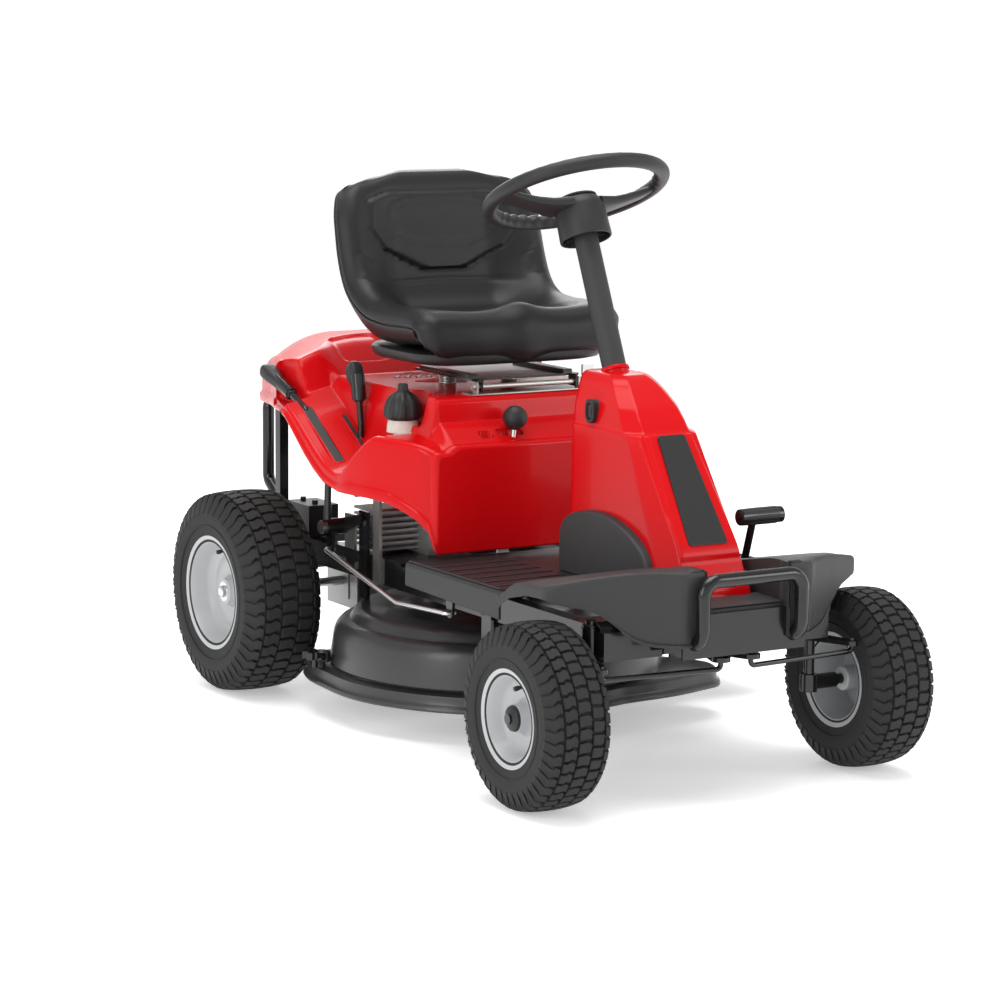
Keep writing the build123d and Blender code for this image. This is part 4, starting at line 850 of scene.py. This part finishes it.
def steering_wheel():
    b = Build()
    rows = []
    n = 320
    for i in range(n):
        a = 2 * math.pi * i / n
        row = []
        bump = (0.5 + 0.5 * math.cos(a * 40)) ** 0.8
        rest = step(0.16, 0.30, abs(math.sin(a)))
        for k in range(24):
            t = 2 * math.pi * k / 24
            inner = max(0, -math.cos(t + 0.5))
            rr = 14.0 + 4.2 * rest * inner * (bump - 0.55) - 0.6 * max(0, math.sin(t)) ** 4
            row.append(on_wheel(164 + rr * math.cos(t), a, rr * math.sin(t)))
        rows.append(row)
    b.grid(rows, wrap_u=True, wrap_v=True)
    b.make("steering_wheel_rim", GRIP, "steering_wheel", slot="grip_plastic", sharp=50,
           replaces=["steering_wheel"])
    h = Build()
    for side in (1, -1):
        rows = []
        for r, up, half_w, half_t in ((163, -2, 30, 6), (156, -4, 28, 7), (146, -7, 24, 7.5),
                                      (125, -13, 22, 8), (95, -21, 24, 9),
                                      (68, -27, 30, 10), (48, -29, 36, 11), (30, -29, 38, 11)):
            row = []
            for k in range(28):
                t = 2 * math.pi * k / 28
                c, s = math.cos(t), math.sin(t)
                px, pz = half_w * math.copysign(abs(c) ** 0.5, c), half_t * math.copysign(abs(s) ** 0.6, s)
                if s > 0 and abs(px) < half_w * 0.62:
                    pz -= 3.0
                row.append(RING_CENTRE + AXIS * (up + pz) + Vector((side * r, 0, 0)) + FORE * px)
            rows.append(row)
        h.solid(rows)
    h.lathe([(-14, 0.1), (-14, 26), (-15, 35), (-19, 40), (-26, 44), (-34, 47), (-92, 49), (-94, 48),
             (-94, 45.5), (-44, 43),
             (-42, 22), (-90, 20), (-90, 13.0)], RING_CENTRE, AXIS, 72)
    for k in range(6):
        d = Vector((1, 0, 0)) * math.cos(k * math.pi / 3) + FORE * math.sin(k * math.pi / 3)
        side = AXIS.cross(d)
        ring = [[RING_CENTRE + AXIS * up + d * r + side * w for r,
                 w in ((19, -1.2), (19, 1.2), (44, 1.2), (44, -1.2))]
                for up in (-44, -86)]
        h.solid(ring)
    h.make("steering_wheel_hub", GRIP, "steering_wheel", slot="grip_plastic", sharp=40)
    c = Build()
    c.lathe([(-14, 36.5), (-11.5, 36.5), (-9.8, 35), (-8.4, 30), (-7.8, 20), (-7.6, 0.1)], RING_CENTRE, AXIS,
            64)
    c.make("steering_cap_face", BLACK_PLASTIC, "steering_wheel", slot="grip_plastic", sharp=40,
           replaces=["steering_hub_cap"])
    t = Build()
    base = Vector((0, COLUMN_Y - (COLUMN_Z - 716) * math.tan(TILT), 716))
    t.lathe([(-20, 23.6), (0, 24.6), (1.5, 27), (5, 27.2), (8, 26), (9, 23.2), (9, 15)], base, AXIS, 48)
    t.make("column_collar", RED, "chassis", slot="red_plastic", sharp=40)


steering_wheel()


# ---------------------------------------------------------------- cutting deck
def deck_plan(a, grow):
    """Plan radius of the deck's edge at an angle from its middle."""
    off = (math.degrees(a) - 90 + 180) % 360 - 180
    if off > 0:
        table = [(0, 327), (22, 330), (42, 372), (50, 382), (58, 372), (79, 341), (103, 333), (123, 327),
                 (180, 327)]
    else:
        table = [(0, 327), (22, 330), (42, 372), (50, 382), (58, 372), (72, 343), (79, 341), (103, 335),
                 (109, 345),
                 (114, 402), (120, 436), (126, 438), (134, 407), (149, 357), (156, 338), (164, 327), (180,
                         327)]
    return soft_curve(table, abs(off)) + grow


def deck_dome():
    b = Build()
    table = [(64, 1.0, 0, 0), (63.5, 1.0, 3, 0), (67, 1.0, 4.5, 0), (72, 1.0, 3.0, 0), (75, 1.0, -1, 0),
             (80, 1.0, -3, 0),
             (88, 1.0, -4, 0), (93.5, 1.0, -5, 0), (98, 1.0, -13, 0), (100, 0.85, -17, 0.15), (101, 0.5, -14,
                     0.5),
             (103, 0.15, -6, 0.85), (108, 0, 0, 1.0), (135, 0, -3, 1.0), (165, 0, -7, 1.0), (178, 0, -12,
                     1.0),
             (186, 0, -20, 1.0), (190, 0, -30, 1.0), (191, 0, -38, 1.0), (196, 0, -42, 1.0), (204, 0, -46,
                     1.0),
             (210, 0, -53, 1.0), (212, 0, -64, 1.0), (212, 0, -120, 1.0), (215, 0, -138, 1.0), (222, 0, -150,
                     1.0),
             (224, 0, -165, 1.0), (224, 0, -262, 1.0), (217, 0, -268, 1.0), (217, 0, -300, 1.0)]
    rows = []
    for i in range(193):
        a = 2 * math.pi * i / 192
        row = []
        for z, k, grow, m in table:
            r = deck_plan(a, grow) * k + (DOME_R + grow) * m if k else DOME_R + grow
            row.append((r * math.cos(a), DECK_Y + r * math.sin(a), z))
        rows.append(row)
    b.grid(rows)
    o = b.make("deck_dome_shell", DECK, "deck", slot="deck_metal", sharp=36, replaces=["deck_shell"])
    s = o.modifiers.new("skin", "SOLIDIFY")
    s.thickness, s.offset = 0.0025, -1
    o.modifiers.move(1, 0)
    k = Build()
    k.box(326, 389, 588, 592, 70, 178, 0.5)
    k.box(326, 389, 828, 832, 70, 178, 0.5)
    k.box(300, 389, 588, 832, 174, 178, 0.5)
    k.make("deck_tunnel", DECK, "deck", slot="deck_metal")
    n = Build()
    n.lathe([(0, 7), (10, 7), (11, 14), (13, 16), (30, 15), (33, 12), (34, 0.1)], (-322, 838, 98), (0, 0, 1),
            24)
    for i in range(5):
        t = 2 * math.pi * i / 5
        n.lathe([(11, 5), (13, 7), (29, 6.6), (32, 4), (32.2, 0.1)],
                (-322 + 12 * math.cos(t), 838 + 12 * math.sin(t), 98), (0, 0, 1), 16)
    n.make("deck_star_knob", BLACK_PLASTIC, "deck", slot="charcoal_plastic")


deck_dome()


# ---------------------------------------------------------------- levers, knobs and cap
def paddle(b, stations):
    """Soft rectangular grip through (point, half width, half depth) stations."""
    rows = []
    for i, (p, hw, hd) in enumerate(stations):
        a, c = Vector(stations[max(i - 1, 0)][0]), Vector(stations[min(i + 1, len(stations) - 1)][0])
        d = (c - a).normalized()
        side = Vector((1, 0, 0))
        side = (side - d * side.dot(d)).normalized()
        up = d.cross(side)
        row = []
        for k in range(24):
            t = 2 * math.pi * k / 24
            u, v = math.cos(t), math.sin(t)
            row.append(Vector(p) + side * hw * math.copysign(abs(u) ** 0.6,
                    u) + up * hd * math.copysign(abs(v) ** 0.6, v))
        rows.append(row)
    b.solid(rows)


def controls():
    b = Build()
    paddle(b, [((-300, 1004, 613.5), 8, 7), ((-300, 1010, 615.5), 11, 9.5), ((-300, 1040, 625), 11.5, 10),
               ((-300, 1068, 634), 12.5, 11),
               ((-300, 1086, 641), 16, 13), ((-300, 1106, 649), 17.5, 14.5), ((-300, 1114, 652), 16,
                       13), ((-300, 1118, 653.5), 10, 8)])
    b.make("lift_grip", GRIP, "lift_lever", slot="grip_plastic", sharp=45)
    b = Build()
    paddle(b, [((-230, 855, 612), 7, 8), ((-230, 856, 616), 10, 11), ((-230, 860, 634), 10.5, 11.5),
               ((-230, 866, 648), 12, 14),
               ((-229, 874, 660), 15, 17), ((-228, 882, 674), 15, 17.5), ((-228, 886, 682), 12,
                       14), ((-228, 888, 685), 7, 8)])
    b.make("speed_grip", GRIP, "speed_lever", slot="grip_plastic", sharp=45)
    b = Build()
    b.lathe([(-24, 0.1), (-23.5, 6), (-20, 12), (-14, 18.5), (-7, 22.5), (0, 23.8), (8, 22.4), (15, 18),
             (20, 12), (22, 7), (23, 0.1)],
            (-64, 544, 607), (0.1, -0.1, 1), 40)
    b.make("shift_ball", GRIP, "shifter", slot="grip_plastic", sharp=50)
    b = Build()
    rows = []
    for z, r, ribs in ((597, 27, 0), (598.5, 33, 0.5), (604, 36, 1), (620, 35, 1), (632, 31, 1),
                       (641, 25, 0.8),
                       (647, 18, 0.3), (650, 12, 0), (651, 10.5, 0), (662, 9.5, 0), (664, 8, 0), (664.5, 3,
                               0)):
        row = []
        for t in np.linspace(0, 2 * math.pi, 180, endpoint=False):
            rib = r + 1.3 * ribs * math.copysign(abs(math.cos(9 * t)) ** 0.5, math.cos(9 * t))
            row.append((FILLER_X + rib * math.cos(t), FILLER_Y + rib * math.sin(t), z))
        rows.append(row)
    b.solid(rows)
    b.make("fuel_cap_ribbed", BLACK_PLASTIC, "fuel_cap", slot="charcoal_plastic", sharp=40,
           replaces=["fuel_cap"])
    b = Build()
    b.lathe([(0, 29), (1, 31), (14, 30), (24, 28), (24.5, 25), (0, 24)], (FILLER_X, FILLER_Y, 571),
            (0, 0, 1), 48, closed=True)
    b.box(-276, -160, 622, 690, 478, 532, 12)
    b.lathe([(-24, 24), (4, 24), (4, 20), (-24, 20)], (-222, 684, 571), (0, 0, 1), 32)
    b.make("fuel_tank_and_neck", NATURAL, "chassis", slot="tank_plastic", replaces=["fuel_tank"])
    b = Build()
    rows = []
    for x, r in ((117, 10), (118, 13), (121, 14.5), (150, 15), (196, 15), (204, 13), (208, 10)):
        rows.append([(x, 60 + r * math.cos(t) * (1.06 if abs(math.cos(4 * t)) > 0.5 else 1.0),
                      470 + r * math.sin(t) * (1.06 if abs(math.cos(4 * t)) > 0.5 else 1.0))
                     for t in np.linspace(0, 2 * math.pi, 48, endpoint=False)])
    b.solid(rows)
    b.make("pedal_sleeve", GRIP, "pedal", slot="grip_plastic", sharp=50)
    b = Build()
    rows = []
    for x, k in ((-70, 1.0), (-76.5, 1.0), (-78, 0.94)):
        rows.append([(x, 262 + 15 * k * math.copysign(abs(math.cos(t)) ** 0.7, math.cos(t)),
                      652 + 22 * k * math.copysign(abs(math.sin(t)) ** 0.7, math.sin(t)))
                     for t in np.linspace(0, 2 * math.pi, 40, endpoint=False)])
    b.grid(rows, wrap_u=True)
    b.grid([rows[-1], [(-78, 262 + (y - 262) * 0.62, 652 + (z - 652) * 0.72) for _, y, z in rows[-1]]],
           wrap_u=True)
    b.make("switch_bezel", BLACK_PLASTIC, "chassis", slot="charcoal_plastic")


controls()


# ---------------------------------------------------------------- stage
def stage_set():
    """Pale floor that runs up into a backdrop all round."""
    b = Build()
    rows = []
    for r, z in ((0.1, 0), (1500, 0), (4000, 0), (9000, 0), (14000, 300), (17000, 1400), (19000, 4000),
                 (20000, 9000)):
        rows.append([(r * math.cos(t), 634 + r * math.sin(t), z)
                     for t in np.linspace(0, 2 * math.pi, 96, endpoint=False)])
    b.grid(rows, wrap_u=True)
    b.cap(rows[0])
    me = bpy.data.meshes.new("floor")
    me.from_pydata([tuple(V(*p)) for p in b.v], [], b.f)
    for p in me.polygons:
        p.use_smooth = True
    floor = material("floor_white", (0.90, 0.90, 0.90), 0.8, spec=0.1)
    floor.node_tree.nodes["Principled BSDF"].inputs["Emission Color"].default_value = (1, 1, 1, 1)
    floor.node_tree.nodes["Principled BSDF"].inputs["Emission Strength"].default_value = 0.38
    me.materials.append(floor)
    o = bpy.data.objects.new("floor", me)
    bpy.context.scene.collection.objects.link(o)


def area(name, place, aim, size, power, spread=180):
    light = bpy.data.lights.new(name, "AREA")
    light.shape, light.size, light.size_y, light.energy = "RECTANGLE", size[0], size[1], power
    light.spread = math.radians(spread)
    o = bpy.data.objects.new(name, light)
    o.location = place
    o.rotation_euler = (Vector(aim) - Vector(place)).to_track_quat("-Z", "Y").to_euler()
    bpy.context.scene.collection.objects.link(o)


stage_set()
area("key_overhead", (-0.4, -0.3, 4.2), (0, 0, 0.3), (3.2, 3.2), 150)
area("front_left_soft", (-4.4, -1.6, 2.2), (0, 0, 0.6), (1.6, 2.6), 62)
area("front_right_soft", (3.2, -4.2, 2.2), (0, 0, 0.5), (1.6, 2.2), 52)
area("rear_rim", (1.6, 3.8, 3.0), (0, 0, 0.6), (2.5, 2.0), 70)
world = bpy.data.worlds.new("studio")
world.use_nodes = True
world.node_tree.nodes["Background"].inputs["Color"].default_value = (1, 1, 1, 1)
world.node_tree.nodes["Background"].inputs["Strength"].default_value = 0.55
bpy.context.scene.world = world
bpy.context.scene.view_settings.view_transform = "Standard"

cam = bpy.data.objects.new("camera", bpy.data.cameras.new("camera"))
bpy.context.scene.collection.objects.link(cam)
bpy.context.scene.camera = cam
cam.data.sensor_width = 36
cam.data.lens = 119.3
cam.data.clip_end = 100
cam.location = V(-3288, -4779, 1410)
yaw, pitch, roll = math.radians(30.95), math.radians(8.78), math.radians(0.46)
ahead = Vector((math.sin(yaw) * math.cos(pitch), math.cos(yaw) * math.cos(pitch), -math.sin(pitch)))
right = Vector((math.cos(yaw), -math.sin(yaw), 0))
up = right.cross(ahead)
r2, u2 = right * math.cos(roll) + up * math.sin(roll), up * math.cos(roll) - right * math.sin(roll)
cam.rotation_euler = Matrix((r2, u2, -ahead)).transposed().to_euler()
